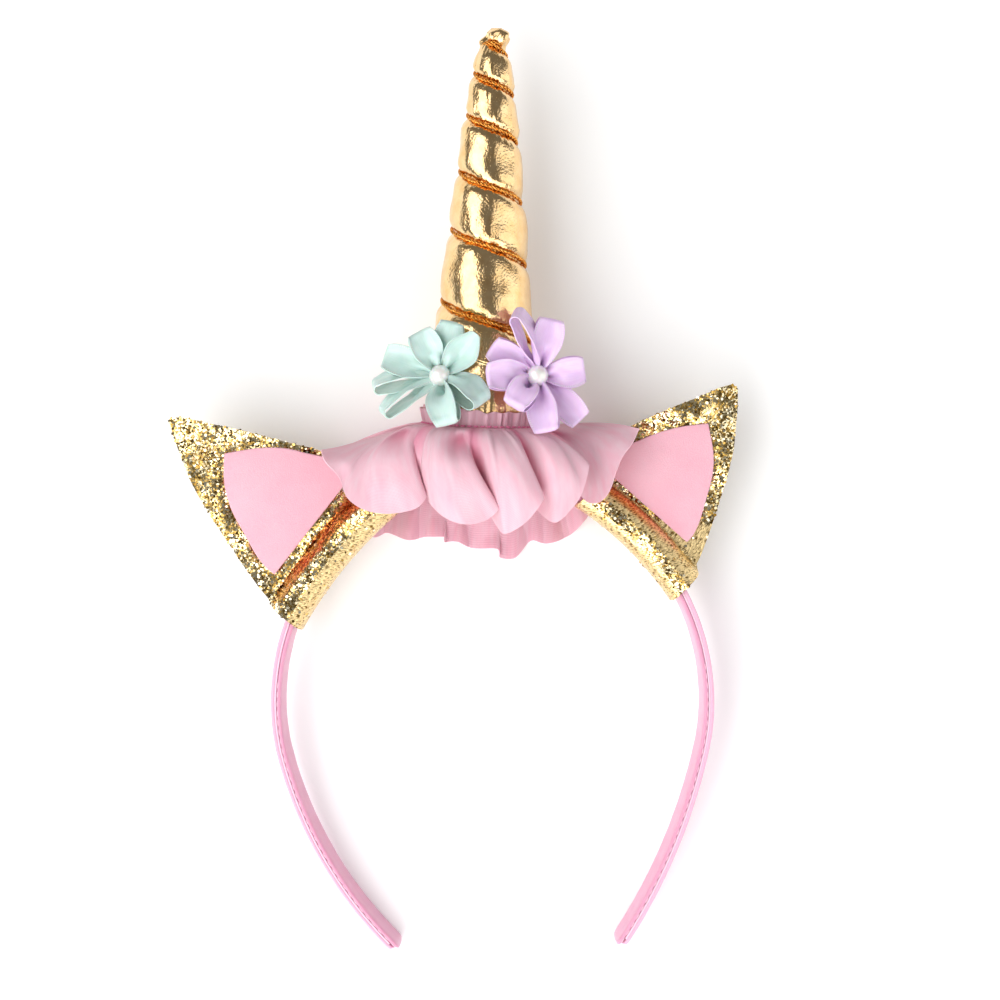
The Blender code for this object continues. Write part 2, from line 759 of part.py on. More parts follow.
def lay_down(parts, guides):
    """Tips the whole headband onto its rest and puts the origin at the middle of its foot."""
    rest = bpy.data.objects.new("rest", None)
    bpy.context.scene.collection.objects.link(rest)
    _, rise = floor_slope()
    rest.rotation_euler.x = math.atan(rise)
    for piece in list(parts.objects) + list(guides.objects):
        piece.parent = rest
    bpy.context.view_layer.update()
    graph = bpy.context.evaluated_depsgraph_get()
    corners = []
    for piece in parts.objects:
        ready = piece.evaluated_get(graph)
        mesh = ready.to_mesh()
        corners += [ready.matrix_world @ vert.co for vert in mesh.vertices]
        ready.to_mesh_clear()
    low = [min(c[i] for c in corners) for i in range(3)]
    high = [max(c[i] for c in corners) for i in range(3)]
    rest.location = (-(low[0] + high[0]) / 2, -(low[1] + high[1]) / 2, -low[2])


def main():
    """Clears the scene and builds the headband."""
    for old in list(bpy.data.objects):
        bpy.data.objects.remove(old)
    parts = collection("unicorn_horn_headband")
    guides = collection("cutters")
    make_band(parts, guides)
    make_horn(parts)
    make_cord(parts)
    make_ruffle(parts)
    for side in EARS:
        make_ear(side, parts, guides)
    for flower in FLOWER_PETALS:
        make_flower(flower, parts)
    lay_down(parts, guides)


main()
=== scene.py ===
"""A unicorn horn headband lying on its back, dressed on its solids and lit as in a studio.

The maker's frame is the flat one: the band's arch lies in the XY plane, the horn points along +Y and the
front faces +Z. lie_of gives the matrix that lays that frame on the floor, where the solids already are.
Lengths are in metres.
"""

from __future__ import annotations

import logging
import math
import random
from dataclasses import dataclass, field
from enum import Enum
from typing import Callable, NamedTuple, Sequence

import bpy
import numpy as np
from mathutils import Matrix, Vector, noise

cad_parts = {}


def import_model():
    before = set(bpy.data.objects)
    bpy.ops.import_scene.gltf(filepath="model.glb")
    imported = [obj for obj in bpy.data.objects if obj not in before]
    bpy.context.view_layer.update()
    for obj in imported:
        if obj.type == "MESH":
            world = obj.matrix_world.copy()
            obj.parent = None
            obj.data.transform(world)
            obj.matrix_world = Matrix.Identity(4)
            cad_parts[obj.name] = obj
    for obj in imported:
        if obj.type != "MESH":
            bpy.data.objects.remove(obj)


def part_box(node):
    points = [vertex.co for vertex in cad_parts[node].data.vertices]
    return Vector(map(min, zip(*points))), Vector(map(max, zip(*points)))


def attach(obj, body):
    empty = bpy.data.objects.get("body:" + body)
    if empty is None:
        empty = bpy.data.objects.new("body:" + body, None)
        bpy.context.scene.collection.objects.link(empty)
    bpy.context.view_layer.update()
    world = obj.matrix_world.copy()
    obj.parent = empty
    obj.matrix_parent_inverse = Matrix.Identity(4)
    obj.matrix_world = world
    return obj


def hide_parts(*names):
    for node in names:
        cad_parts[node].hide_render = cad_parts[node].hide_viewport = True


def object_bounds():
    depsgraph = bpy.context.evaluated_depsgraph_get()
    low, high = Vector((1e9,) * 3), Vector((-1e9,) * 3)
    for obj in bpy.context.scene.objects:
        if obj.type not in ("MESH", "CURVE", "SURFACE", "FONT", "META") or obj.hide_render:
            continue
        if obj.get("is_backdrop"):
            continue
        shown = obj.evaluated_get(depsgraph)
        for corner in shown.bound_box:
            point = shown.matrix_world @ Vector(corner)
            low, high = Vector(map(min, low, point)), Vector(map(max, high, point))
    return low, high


log = logging.getLogger("unicorn_horn_headband")

BODY = "root"
MM = 0.001
REST_SLOPE = 0.0814641
PEARL_SEAT = 0.0020
MERGE = 1e-6

Placer = Callable[[float, float], Vector]
Socket = bpy.types.NodeSocket


class Side(Enum):
    """The wearer's sides, as the photograph shows them."""

    LEFT = "left"
    RIGHT = "right"


class Layer(Enum):
    """The ruffle's halves: the one in front of the band and the one behind it."""

    FRONT = 1
    BACK = -1


# Reading tables


def slope(rows: Sequence[Sequence[float]], row: int, column: int) -> float:
    """How fast a column changes at a row, along the first column.

    Args:
        rows: The table, sorted by its first column.
        row: Which row.
        column: Which column.

    Returns:
        The change of the column for one unit of the first.
    """
    before, after = rows[max(row - 1, 0)], rows[min(row + 1, len(rows) - 1)]
    return (after[column] - before[column]) / (after[0] - before[0])


def read(rows: Sequence[Sequence[float]], at: float) -> list[float]:
    """The other columns of a table where its first column has a value, on a smooth curve.

    Args:
        rows: The table, sorted by its first column.
        at: The first column's value.

    Returns:
        The other columns there.
    """
    row = 0
    while row < len(rows) - 2 and at > rows[row + 1][0]:
        row += 1
    low, high = rows[row], rows[row + 1]
    span = high[0] - low[0]
    s = (at - low[0]) / span
    weights = (
        2 * s**3 - 3 * s**2 + 1,
        span * (s**3 - 2 * s**2 + s),
        3 * s**2 - 2 * s**3,
        span * (s**3 - s**2),
    )
    values = []
    for k in range(1, len(low)):
        terms = (low[k], slope(rows, row, k), high[k], slope(rows, row + 1, k))
        values.append(sum(w * t for w, t in zip(weights, terms)))
    return values


def through(points: Sequence[Sequence[float]], at: float) -> list[float]:
    """A place on the smooth curve that runs through points at even steps.

    Args:
        points: The points, each a row of numbers.
        at: The place, from 0 at the first to 1 at the last.

    Returns:
        The numbers there.
    """
    last = len(points) - 1
    place = min(max(at, 0.0), 1.0) * last
    i = min(int(place), last - 1)
    t = place - i
    a, b, c, d = (points[min(max(i + k, 0), last)] for k in (-1, 0, 1, 2))
    return [
        0.5 * (2 * q + (r - p) * t + (2 * p - 5 * q + 4 * r - s) * t**2 + (3 * q - p - 3 * r + s) * t**3)
        for p, q, r, s in zip(a, b, c, d)
    ]


def ease(value: float, low: float, high: float) -> float:
    """A smooth step from 0 at low to 1 at high."""
    t = min(1.0, max(0.0, (value - low) / (high - low)))
    return t * t * (3 - 2 * t)


# The workshop


def deselect() -> None:
    """Deselects every object, because an operator acts on all that is selected."""
    for thing in bpy.context.selected_objects:
        thing.select_set(False)


def pick(piece: bpy.types.Object) -> bpy.types.Object:
    """Makes one piece the only selected one, and active.

    Args:
        piece: The piece.

    Returns:
        The piece.
    """
    deselect()
    piece.select_set(True)
    bpy.context.view_layer.objects.active = piece
    return piece


class Workshop:
    """Makes pieces in the flat frame, lays them down and hands them to the frame."""

    def __init__(self, lie: Matrix) -> None:
        """Keeps the matrix that lays the flat frame down.

        Args:
            lie: The matrix from the flat frame to the world.
        """
        self.lie = lie

    def surface(
        self, name: str, columns: int, rows: int, at: Placer, cut: tuple[float, float], wrap: bool = False
    ) -> bpy.types.Object:
        """A grid primitive whose points a function places, with its own cloth coordinates.

        Args:
            name: The piece's name.
            columns: Faces along u.
            rows: Faces along v.
            at: Places a point of the flat frame from u and v, which run from 0 to 1.
            cut: The cloth's width along u and length along v, in metres.
            wrap: Whether u comes round to its start.

        Returns:
            The piece, an open sheet or, if it wraps, a tube.
        """
        deselect()
        bpy.ops.mesh.primitive_grid_add(x_subdivisions=columns, y_subdivisions=rows, size=1)
        piece = bpy.context.object
        piece.name = name
        mesh = piece.data
        mesh.name = name
        share = np.empty(len(mesh.vertices) * 3)
        mesh.vertices.foreach_get("co", share)
        share = share.reshape(-1, 3) + 0.5
        places = np.array([self.lie @ at(float(u), float(v)) for u, v, _ in share])
        mesh.vertices.foreach_set("co", places.ravel())
        cloth = mesh.attributes.new("cloth", "FLOAT_VECTOR", "POINT")
        share[:, 0] *= cut[0] / MM
        share[:, 1] *= cut[1] / MM
        share[:, 2] = 0
        cloth.data.foreach_set("vector", share.ravel())
        mesh.update()
        if wrap:
            self.edit(piece, lambda: bpy.ops.mesh.remove_doubles(threshold=MERGE))
        return piece

    def edit(self, piece: bpy.types.Object, *steps: Callable[[], object]) -> bpy.types.Object:
        """Runs operators in edit mode on all of a piece.

        Args:
            piece: The piece.
            steps: The operators, each as a call without arguments.

        Returns:
            The piece.
        """
        pick(piece)
        bpy.ops.object.mode_set(mode="EDIT")
        bpy.ops.mesh.select_all(action="SELECT")
        for step in steps:
            step()
        bpy.ops.object.mode_set(mode="OBJECT")
        return piece

    def capped(self, piece: bpy.types.Object) -> bpy.types.Object:
        """Closes the open ends of a tube and points its faces outwards.

        Args:
            piece: The tube.

        Returns:
            The piece.
        """
        return self.edit(
            piece,
            lambda: bpy.ops.mesh.select_all(action="DESELECT"),
            lambda: bpy.ops.mesh.select_non_manifold(),
            lambda: bpy.ops.mesh.fill_holes(sides=0),
            lambda: bpy.ops.mesh.select_all(action="SELECT"),
            lambda: bpy.ops.mesh.normals_make_consistent(inside=False),
        )

    def finish(self, piece: bpy.types.Object, kind: str, **settings: object) -> bpy.types.Object:
        """Adds a modifier and applies it.

        Args:
            piece: The piece.
            kind: The modifier's type.
            settings: The modifier's settings.

        Returns:
            The piece.
        """
        pick(piece)
        bpy.ops.object.modifier_add(type=kind)
        step = piece.modifiers[-1]
        for key, value in settings.items():
            setattr(step, key, value)
        bpy.ops.object.modifier_apply(modifier=step.name)
        return piece

    def walled(self, piece: bpy.types.Object, wall: float) -> bpy.types.Object:
        """Gives a sheet its thickness, half on each side."""
        return self.finish(piece, "SOLIDIFY", thickness=wall, offset=0)

    def smooth(self, piece: bpy.types.Object, degrees: float = 180) -> bpy.types.Object:
        """Shades a piece smooth up to an angle between faces.

        Args:
            piece: The piece.
            degrees: The angle, all of them by default.

        Returns:
            The piece.
        """
        pick(piece)
        bpy.ops.object.shade_smooth_by_angle(angle=math.radians(degrees))
        return piece

    def strands(
        self, name: str, lines: Sequence[Sequence[Vector]], radius: float, sides: int
    ) -> bpy.types.Object:
        """Round threads along lines of the flat frame, as one mesh.

        Args:
            name: The piece's name.
            lines: The threads' middle lines.
            radius: The threads' radius.
            sides: A number of sides that is four or more, and even.

        Returns:
            The piece.
        """
        curve = bpy.data.curves.new(name, "CURVE")
        curve.dimensions = "3D"
        curve.bevel_depth = radius
        curve.bevel_resolution = max(0, sides // 2 - 2)
        curve.use_fill_caps = True
        for line in lines:
            spline = curve.splines.new("POLY")
            spline.points.add(len(line) - 1)
            for point, place in zip(spline.points, line):
                point.co = (*(self.lie @ place), 1)
        piece = bpy.data.objects.new(name, curve)
        bpy.context.scene.collection.objects.link(piece)
        pick(piece)
        bpy.ops.object.convert(target="MESH")
        piece = bpy.context.object
        self.edit(piece, lambda: bpy.ops.mesh.remove_doubles(threshold=MERGE))
        return self.smooth(piece)

    def scatter(
        self, name: str, model: bpy.types.Object, places: Sequence[Matrix], tints: Sequence[float]
    ) -> bpy.types.Object:
        """Many copies of a small model in one mesh, each with its own tint, and the model removed.

        Args:
            name: The piece's name.
            model: The small object that is copied.
            places: Where each copy goes, in the flat frame.
            tints: A number from 0 to 1 for each copy, kept in the attribute "tint".

        Returns:
            The piece.
        """
        base = np.array([vert.co[:] for vert in model.data.vertices])
        faces = [tuple(face.vertices) for face in model.data.polygons]
        verts, joined = [], []
        for i, place in enumerate(places):
            whole = np.array(self.lie @ place)
            verts.append(base @ whole[:3, :3].T + whole[:3, 3])
            joined += [tuple(k + i * len(base) for k in face) for face in faces]
        mesh = bpy.data.meshes.new(name)
        mesh.from_pydata(np.concatenate(verts).tolist(), [], joined)
        tint = mesh.attributes.new("tint", "FLOAT", "POINT")
        tint.data.foreach_set("value", np.repeat(np.array(tints), len(base)))
        piece = bpy.data.objects.new(name, mesh)
        bpy.context.scene.collection.objects.link(piece)
        bpy.data.objects.remove(model)
        return piece

    def hand_over(
        self, piece: bpy.types.Object, finish: Finish, slot: str, *nodes: str
    ) -> bpy.types.Object:
        """Dresses a piece and gives it to the frame.

        Args:
            piece: The piece, in its place.
            finish: Its finish.
            slot: The record's material slot; not used.
            nodes: The CAD nodes that it stands for.

        Returns:
            The piece.
        """
        piece.data.materials.clear()
        piece.data.materials.append(finish.material())
        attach(piece, BODY)
        if nodes:
            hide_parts(*nodes)
        log.info("%s: %d faces", piece.name, len(piece.data.polygons))
        return piece


# Finishes


class Recipe:
    """The node tree of one finish, with short calls for its nodes."""

    def __init__(self, name: str, **sockets: object) -> None:
        """Starts a material.

        Args:
            name: The material's name.
            sockets: Values for the shader's own sockets, with underscores for blanks.
        """
        self.made = bpy.data.materials.new(name)
        self.made.use_nodes = True
        self.nodes = self.made.node_tree.nodes
        self.links = self.made.node_tree.links
        self.shader = self.nodes["Principled BSDF"]
        for key, value in sockets.items():
            self.feed(self.shader.inputs[key.replace("_", " ")], value)

    def feed(self, socket: Socket, value: object) -> None:
        """Links a socket or sets its value.

        Args:
            socket: The input.
            value: An output to link, or a value.
        """
        if isinstance(value, bpy.types.NodeSocket):
            self.links.new(value, socket)
        else:
            socket.default_value = value

    def node(self, kind: str, sockets: dict[object, object], **settings: object) -> bpy.types.Node:
        """A node with its settings and sockets.

        Args:
            kind: The node's type, without its leading ShaderNode.
            sockets: Values or links by the input's name or number.
            settings: The node's own settings.

        Returns:
            The node.
        """
        made = self.nodes.new("ShaderNode" + kind)
        for key, value in settings.items():
            setattr(made, key, value)
        for key, value in sockets.items():
            self.feed(made.inputs[key], value)
        return made

    def cloth(self) -> Socket:
        """Where a point lies on the flat cloth, in millimetres."""
        return self.node("Attribute", {}, attribute_name="cloth").outputs["Vector"]

    def body(self) -> Socket:
        """Where a point lies on the object, in metres."""
        return self.node("TexCoord", {}).outputs["Object"]

    def stretched(self, vector: Socket, scale: tuple[float, float, float]) -> Socket:
        """A vector scaled on each axis."""
        return self.node("Mapping", {"Vector": vector, "Scale": scale}).outputs["Vector"]

    def grain(self, vector: Socket, scale: float, detail: float = 2.0) -> Socket:
        """Soft noise of a scale."""
        sockets = {"Vector": vector, "Scale": scale, "Detail": detail}
        return self.node("TexNoise", sockets).outputs["Fac"]

    def ramp(self, factor: Socket, *stops: tuple[float, tuple[float, float, float]]) -> Socket:
        """Colours that follow a factor, each stop with its place.

        Args:
            factor: The factor.
            stops: Each stop's place and colour.

        Returns:
            The colour.
        """
        made = self.node("ValToRGB", {"Fac": factor})
        bar = made.color_ramp
        while len(bar.elements) < len(stops):
            bar.elements.new(0.5)
        for element, (place, colour) in zip(bar.elements, stops):
            element.position = place
            element.color = (*colour, 1)
        return made.outputs["Color"]

    def math(self, operation: str, first: object, second: object = 0.0) -> Socket:
        """One arithmetic step."""
        return self.node("Math", {0: first, 1: second}, operation=operation).outputs[0]

    def mix(self, factor: object, first: object, second: object) -> Socket:
        """A blend of two colours."""
        sockets = {0: factor, 6: first, 7: second}
        return self.node("Mix", sockets, data_type="RGBA").outputs[2]

    def waves(self, vector: Socket, scale: float, direction: str) -> Socket:
        """Even bands across one axis.

        Args:
            vector: Where to read the bands.
            scale: The bands' scale.
            direction: The axis they cross.

        Returns:
            The bands' height, from 0 to 1.
        """
        sockets = {"Vector": vector, "Scale": scale}
        return self.node("TexWave", sockets, bands_direction=direction).outputs["Fac"]

    def let_through(self, colour: Socket, share: float) -> None:
        """Lets a share of the light through thin cloth, scattered and tinted.

        Args:
            colour: The tint.
            share: The share of the light.
        """
        beyond = self.node("BsdfTranslucent", {"Color": colour}).outputs["BSDF"]
        both = self.node("MixShader", {0: share, 1: self.shader.outputs["BSDF"], 2: beyond})
        self.links.new(both.outputs[0], self.nodes["Material Output"].inputs["Surface"])

    def bump(self, height: Socket, distance: float) -> None:
        """Relief of a real height on the shader, over any there already.

        Args:
            height: The relief, from 0 to 1.
            distance: Its real height.
        """
        sockets = {"Height": height, "Distance": distance, "Strength": 1.0}
        taken = self.shader.inputs["Normal"].links
        if taken:
            sockets["Normal"] = taken[0].from_socket
        self.feed(self.shader.inputs["Normal"], self.node("Bump", sockets).outputs["Normal"])


@dataclass(frozen=True)
class Finish:
    """A finish by its name; each kind writes its own recipe."""

    name: str

    def material(self) -> bpy.types.Material:
        """The material, made the first time it is asked for."""
        return bpy.data.materials.get(self.name) or self.recipe().made

    def recipe(self) -> Recipe:
        """The finish's node tree."""
        raise NotImplementedError


@dataclass(frozen=True)
class Satin(Finish):
    """Satin ribbon: fine threads along it, a soft sheen, and woven edges where it has them."""

    light: tuple[float, float, float]
    deep: tuple[float, float, float]
    width: float
    roughness: float = 0.31
    thread: float = 0.16
    run: float = 8.3333
    patch: float = 4.0
    selvedge: float = 0.66
    margin: float = 0.24
    dash: float = 0.66

    def recipe(self) -> Recipe:
        """Threads run along the cloth's length, and dashes of selvedge along both edges.

        Returns:
            The finish's node tree.
        """
        r = Recipe(
            self.name,
            Roughness=self.roughness,
            Sheen_Weight=0.25,
            Sheen_Roughness=0.4,
            Specular_IOR_Level=0.6,
            Subsurface_Weight=0.12,
            Subsurface_Scale=0.0006,
        )
        cloth = r.cloth()
        threads = r.grain(r.stretched(cloth, (1 / self.thread, 1 / self.run, 0)), 1.0, 3.0)
        patches = r.grain(r.stretched(cloth, (1 / self.patch, 1 / self.patch, 0)), 1.0, 2.0)
        tone = r.math("ADD", r.math("MULTIPLY", threads, 0.6), r.math("MULTIPLY", patches, 0.4))
        colour = r.ramp(tone, (0.35, self.deep), (0.65, self.light))
        across = r.node("SeparateXYZ", {0: cloth}).outputs["X"]
        half = self.width / MM / 2
        out = r.math("ABSOLUTE", r.math("SUBTRACT", across, half))
        inner = r.math("GREATER_THAN", out, half - self.selvedge)
        edge = r.math("MULTIPLY", inner, r.math("LESS_THAN", out, half - self.margin))
        dashes = r.waves(r.stretched(cloth, (0, 1 / self.dash, 0)), math.pi / 10, "Y")
        woven = r.math("MULTIPLY", edge, r.math("GREATER_THAN", dashes, 0.5))
        pale = tuple(0.55 + 0.45 * c for c in self.light)
        shaded = tuple(0.66 * c for c in self.deep)
        gap = r.mix(r.math("MULTIPLY", edge, 0.45), colour, (*shaded, 1))
        r.feed(r.shader.inputs["Base Color"], r.mix(woven, gap, (*pale, 1)))
        r.bump(threads, 0.00003)
        r.bump(r.math("MULTIPLY", edge, dashes), 0.00010)
        return r


@dataclass(frozen=True)
class Lame(Finish):
    """Gold foil cloth: a mirror-like skin broken up by crinkles and a fine knit."""

    light: tuple[float, float, float]
    deep: tuple[float, float, float]
    crinkle: float = 0.0034
    knit: float = 0.00062

    def recipe(self) -> Recipe:
        """Crinkles of two sizes over the knit.

        Returns:
            The finish's node tree.
        """
        r = Recipe(self.name, Metallic=1.0, Roughness=0.15)
        body = r.body()
        broad = r.grain(body, 1 / self.crinkle, 3.0)
        fine = r.grain(body, 1 / self.knit, 2.0)
        r.feed(r.shader.inputs["Base Color"], r.ramp(broad, (0.30, self.deep), (0.62, self.light)))
        r.bump(broad, 0.00005)
        r.bump(fine, 0.00010)
        return r


@dataclass(frozen=True)
class Glitter(Finish):
    """Chunky glitter: each cell a little mirror with its own tilt and tone."""

    dark: tuple[float, float, float]
    gold: tuple[float, float, float]
    bright: tuple[float, float, float]
    # Painted shade in the ears' valleys: the cells turn dark to orange.
    valley_painted_shade: tuple = ((0.1, (0.30, 0.03, 0.005)), (0.6, (0.85, 0.22, 0.03)), (0.95, (1.0, 0.55, 0.15)))
    cell: float = 0.00042
    tilt: float = 0.17
    patch: float = 0.0075
    sway: float = 2.4

    def recipe(self) -> Recipe:
        """Cells tilt the normal and pick the tone, and broad patches lean one way together.

        Returns:
            The finish's node tree.
        """
        r = Recipe(self.name, Metallic=1.0, Roughness=0.20)
        cells = r.node("TexVoronoi", {"Vector": r.body(), "Scale": 1 / self.cell}, feature="F1")
        random_way = cells.outputs["Color"]
        parts = r.node("SeparateColor", {0: random_way})
        stops = ((0.0, self.dark), (0.35, self.gold), (0.8, self.bright))
        glitter = r.ramp(parts.outputs[0], *stops)
        # Painted shade: how far a place lies in the ears' valley.
        shade = r.node("Attribute", {}, attribute_name="valley_painted_shade").outputs["Fac"]
        r.feed(r.shader.inputs["Base Color"], r.mix(shade, glitter, r.ramp(parts.outputs[1], *self.valley_painted_shade)))
        half = (0.5, 0.5, 0.5)
        own = r.node("VectorMath", {0: random_way, 1: half}, operation="SUBTRACT").outputs[0]
        soft = r.node("TexNoise", {"Vector": r.body(), "Scale": 1 / self.patch, "Detail": 2.0})
        broad = r.node("VectorMath", {0: soft.outputs["Color"], 1: half}, operation="SUBTRACT").outputs[0]
        away = r.node("VectorMath", {0: own, 1: (2 * self.tilt,) * 3}, operation="MULTIPLY").outputs[0]
        sways = {0: broad, 1: (self.sway,) * 3, 2: away}
        lean = r.node("VectorMath", sways, operation="MULTIPLY_ADD").outputs[0]
        normal = r.node("NewGeometry", {}).outputs["Normal"]
        tipped = r.node("VectorMath", {0: normal, 1: lean}, operation="ADD")
        whole = r.node("VectorMath", {0: tipped.outputs[0]}, operation="NORMALIZE")
        r.feed(r.shader.inputs["Normal"], whole.outputs[0])
        return r


@dataclass(frozen=True)
class Flake(Finish):
    """One glitter flake's own tone, from its tint."""

    dark: tuple[float, float, float]
    gold: tuple[float, float, float]
    bright: tuple[float, float, float]

    def recipe(self) -> Recipe:
        """The tint picks the tone.

        Returns:
            The finish's node tree.
        """
        r = Recipe(self.name, Metallic=1.0, Roughness=0.16)
        tint = r.node("Attribute", {}, attribute_name="tint").outputs["Fac"]
        stops = ((0.05, self.dark), (0.45, self.gold), (0.85, self.bright))
        r.feed(r.shader.inputs["Base Color"], r.ramp(tint, *stops))
        return r


@dataclass(frozen=True)
class Chiffon(Finish):
    """Thin see-through cloth with an open weave."""

    light: tuple[float, float, float]
    deep: tuple[float, float, float]
    # The deeper pink of layered cloth and of painted shade in folds and hollows.
    layered_and_painted_shade: tuple[float, float, float]
    yarn: float = 0.32
    cover: float = 0.80
    through: float = 0.10

    def recipe(self) -> Recipe:
        """The weave opens the cloth between its yarns, and its tone deepens where the cloth lies in layers
        and with painted shade in its folds and hollows.

        Returns:
            The finish's node tree.
        """
        r = Recipe(
            self.name,
            Roughness=0.75,
            Sheen_Weight=0.08,
            Sheen_Roughness=0.5,
            Subsurface_Weight=0.30,
            Subsurface_Radius=(0.5, 0.5, 0.5),
            Subsurface_Scale=0.0015,
            Specular_IOR_Level=0.2,
        )
        cloth = r.cloth()
        warp = r.waves(r.stretched(cloth, (1 / self.yarn, 0, 0)), math.pi / 10, "X")
        weft = r.waves(r.stretched(cloth, (0, 1 / self.yarn, 0)), math.pi / 10, "Y")
        weave = r.math("MAXIMUM", warp, weft)
        slubs = r.grain(r.stretched(cloth, (0.35, 0.12, 0)), 1.0, 4.0)
        # Painted shade, with some real layering: the colour deepens in folds, at the gather and in the
        # front's hollows.
        layered_and_painted_shade = r.node("Attribute", {}, attribute_name="layered_and_painted_shade").outputs["Fac"]
        colour = r.mix(layered_and_painted_shade, r.ramp(slubs, (0.3, self.deep), (0.7, self.light)), (*self.layered_and_painted_shade, 1))
        r.feed(r.shader.inputs["Base Color"], colour)
        r.let_through(colour, self.through)
        solid = r.math("ADD", r.math("MULTIPLY", weave, 1 - self.cover), self.cover)
        r.feed(r.shader.inputs["Alpha"], solid)
        r.bump(weave, 0.00006)
        return r


@dataclass(frozen=True)
class Felt(Finish):
    """Matte pressed felt."""

    light: tuple[float, float, float]
    deep: tuple[float, float, float]
    fibre: float = 0.0003

    def recipe(self) -> Recipe:
        """Short fibres in all directions.

        Returns:
            The finish's node tree.
        """
        r = Recipe(
            self.name,
            Roughness=0.92,
            Sheen_Weight=0.4,
            Specular_IOR_Level=0.15,
            Subsurface_Weight=0.25,
            Subsurface_Radius=(1.0, 0.4, 0.5),
            Subsurface_Scale=0.001,
        )
        body = r.body()
        fuzz = r.grain(body, 1 / self.fibre, 4.0)
        cloud = r.grain(body, 90.0, 3.0)
        tone = r.math("ADD", r.math("MULTIPLY", fuzz, 0.5), r.math("MULTIPLY", cloud, 0.5))
        r.feed(r.shader.inputs["Base Color"], r.ramp(tone, (0.35, self.deep), (0.65, self.light)))
        r.bump(fuzz, 0.00010)
        return r


@dataclass(frozen=True)
class Thread(Finish):
    """Shiny thread, with fibres along it."""

    light: tuple[float, float, float]
    deep: tuple[float, float, float]
    metallic: float = 1.0
    roughness: float = 0.3
    fibre: float = 0.00018

    def recipe(self) -> Recipe:
        """Fibres break up the gloss.

        Returns:
            The finish's node tree.
        """
        r = Recipe(self.name, Metallic=self.metallic, Roughness=self.roughness)
        fuzz = r.grain(r.body(), 1 / self.fibre, 2.0)
        r.feed(r.shader.inputs["Base Color"], r.ramp(fuzz, (0.38, self.deep), (0.62, self.light)))
        r.bump(fuzz, 0.00006)
        return r


@dataclass(frozen=True)
class Woven(Finish):
    """Plain metallic weave: short slanting threads with dark gaps, and painted shade, dark to orange, in the
    ears' valleys.
    """

    light: tuple[float, float, float]
    deep: tuple[float, float, float]
    # Painted shade in the ears' valleys, from dark to orange.
    valley_painted_shade: tuple = ((0.38, (0.30, 0.03, 0.005)), (0.52, (0.85, 0.24, 0.04)), (0.66, (1.0, 0.60, 0.20)))
    thread: float = 0.34
    run: float = 1.25
    roughness: float = 0.34

    def recipe(self) -> Recipe:
        """Short strokes that slant across the cloth, broken up by slubs.

        Returns:
            The finish's node tree.
        """
        r = Recipe(self.name, Metallic=1.0, Roughness=self.roughness)
        cloth = r.cloth()
        turned = r.node("Mapping", {"Vector": cloth, "Rotation": (0, 0, math.radians(32))}).outputs["Vector"]
        threads = r.grain(r.stretched(turned, (1 / self.thread, 1 / self.run, 1)), 1.0, 2.0)
        slubs = r.grain(r.stretched(cloth, (1.3, 0.7, 0)), 1.0, 3.0)
        tone = r.math("ADD", r.math("MULTIPLY", threads, 0.65), r.math("MULTIPLY", slubs, 0.35))
        # Painted shade: how far a place lies in the ears' valley.
        shade = r.node("Attribute", {}, attribute_name="valley_painted_shade").outputs["Fac"]
        gold = r.ramp(tone, (0.39, self.deep), (0.50, self.light))
        r.feed(r.shader.inputs["Base Color"], r.mix(shade, gold, r.ramp(tone, *self.valley_painted_shade)))
        r.bump(threads, 0.00016)
        r.bump(slubs, 0.00020)
        return r


@dataclass(frozen=True)
class Pearl(Finish):
    """A coated pearl bead: a warm body under a clear gloss, with painted shade that greys it towards its rim.
    """

    heart: tuple[float, float, float]
    shaded_rim: tuple[float, float, float]

    def recipe(self) -> Recipe:
        """The painted rim shade comes with the angle of the surface to the view.

        Returns:
            The finish's node tree.
        """
        r = Recipe(
            self.name,
            Roughness=0.28,
            Metallic=0.15,
            Coat_Weight=1.0,
            Coat_Roughness=0.04,
            Subsurface_Weight=0.3,
            Subsurface_Scale=0.001,
            Sheen_Weight=0.3,
        )
        # Painted shade: the colour greys where the surface turns away from the view.
        facing = r.node("LayerWeight", {"Blend": 0.35}).outputs["Facing"]
        r.feed(r.shader.inputs["Base Color"], r.ramp(facing, (0.1, self.heart), (0.9, self.shaded_rim)))
        r.bump(r.grain(r.body(), 1800.0, 1.0), 0.00001)
        return r


@dataclass(frozen=True)
class Floor(Finish):
    """The plain pale floor."""

    colour: tuple[float, float, float]
    lit: float = 0.12

    def recipe(self) -> Recipe:
        """A matte even tone, lit a little from below as on a light table.

        Returns:
            The finish's node tree.
        """
        return Recipe(
            self.name,
            Base_Color=(*self.colour, 1),
            Roughness=0.9,
            Specular_IOR_Level=0.1,
            Emission_Color=(1, 1, 1, 1),
            Emission_Strength=self.lit,
        )


# The band

FRONT_WAY = Vector((0, 0, 1))


class Line:
    """A line in the XY plane that is read by the share of its length."""

    def __init__(self, points: Sequence[Vector]) -> None:
        """Measures the line.

        Args:
            points: The line's points, anticlockwise round the band's opening.
        """
        self.x = np.array([p.x for p in points])
        self.y = np.array([p.y for p in points])
        steps = np.hypot(np.diff(self.x), np.diff(self.y))
        self.run = np.concatenate([[0.0], np.cumsum(steps)])
        self.length = float(self.run[-1])

    def point(self, share: float) -> Vector:
        """The point at a share of the length."""
        at = share * self.length
        return Vector((float(np.interp(at, self.run, self.x)), float(np.interp(at, self.run, self.y)), 0))

    def outward(self, share: float) -> Vector:
        """The direction away from the opening at a share of the length.

        Args:
            share: The share of the length.

        Returns:
            The direction, of length 1.
        """
        step = 0.004
        along = self.point(min(1.0, share + step)) - self.point(max(0.0, share - step))
        return Vector((along.y, -along.x, 0)).normalized()


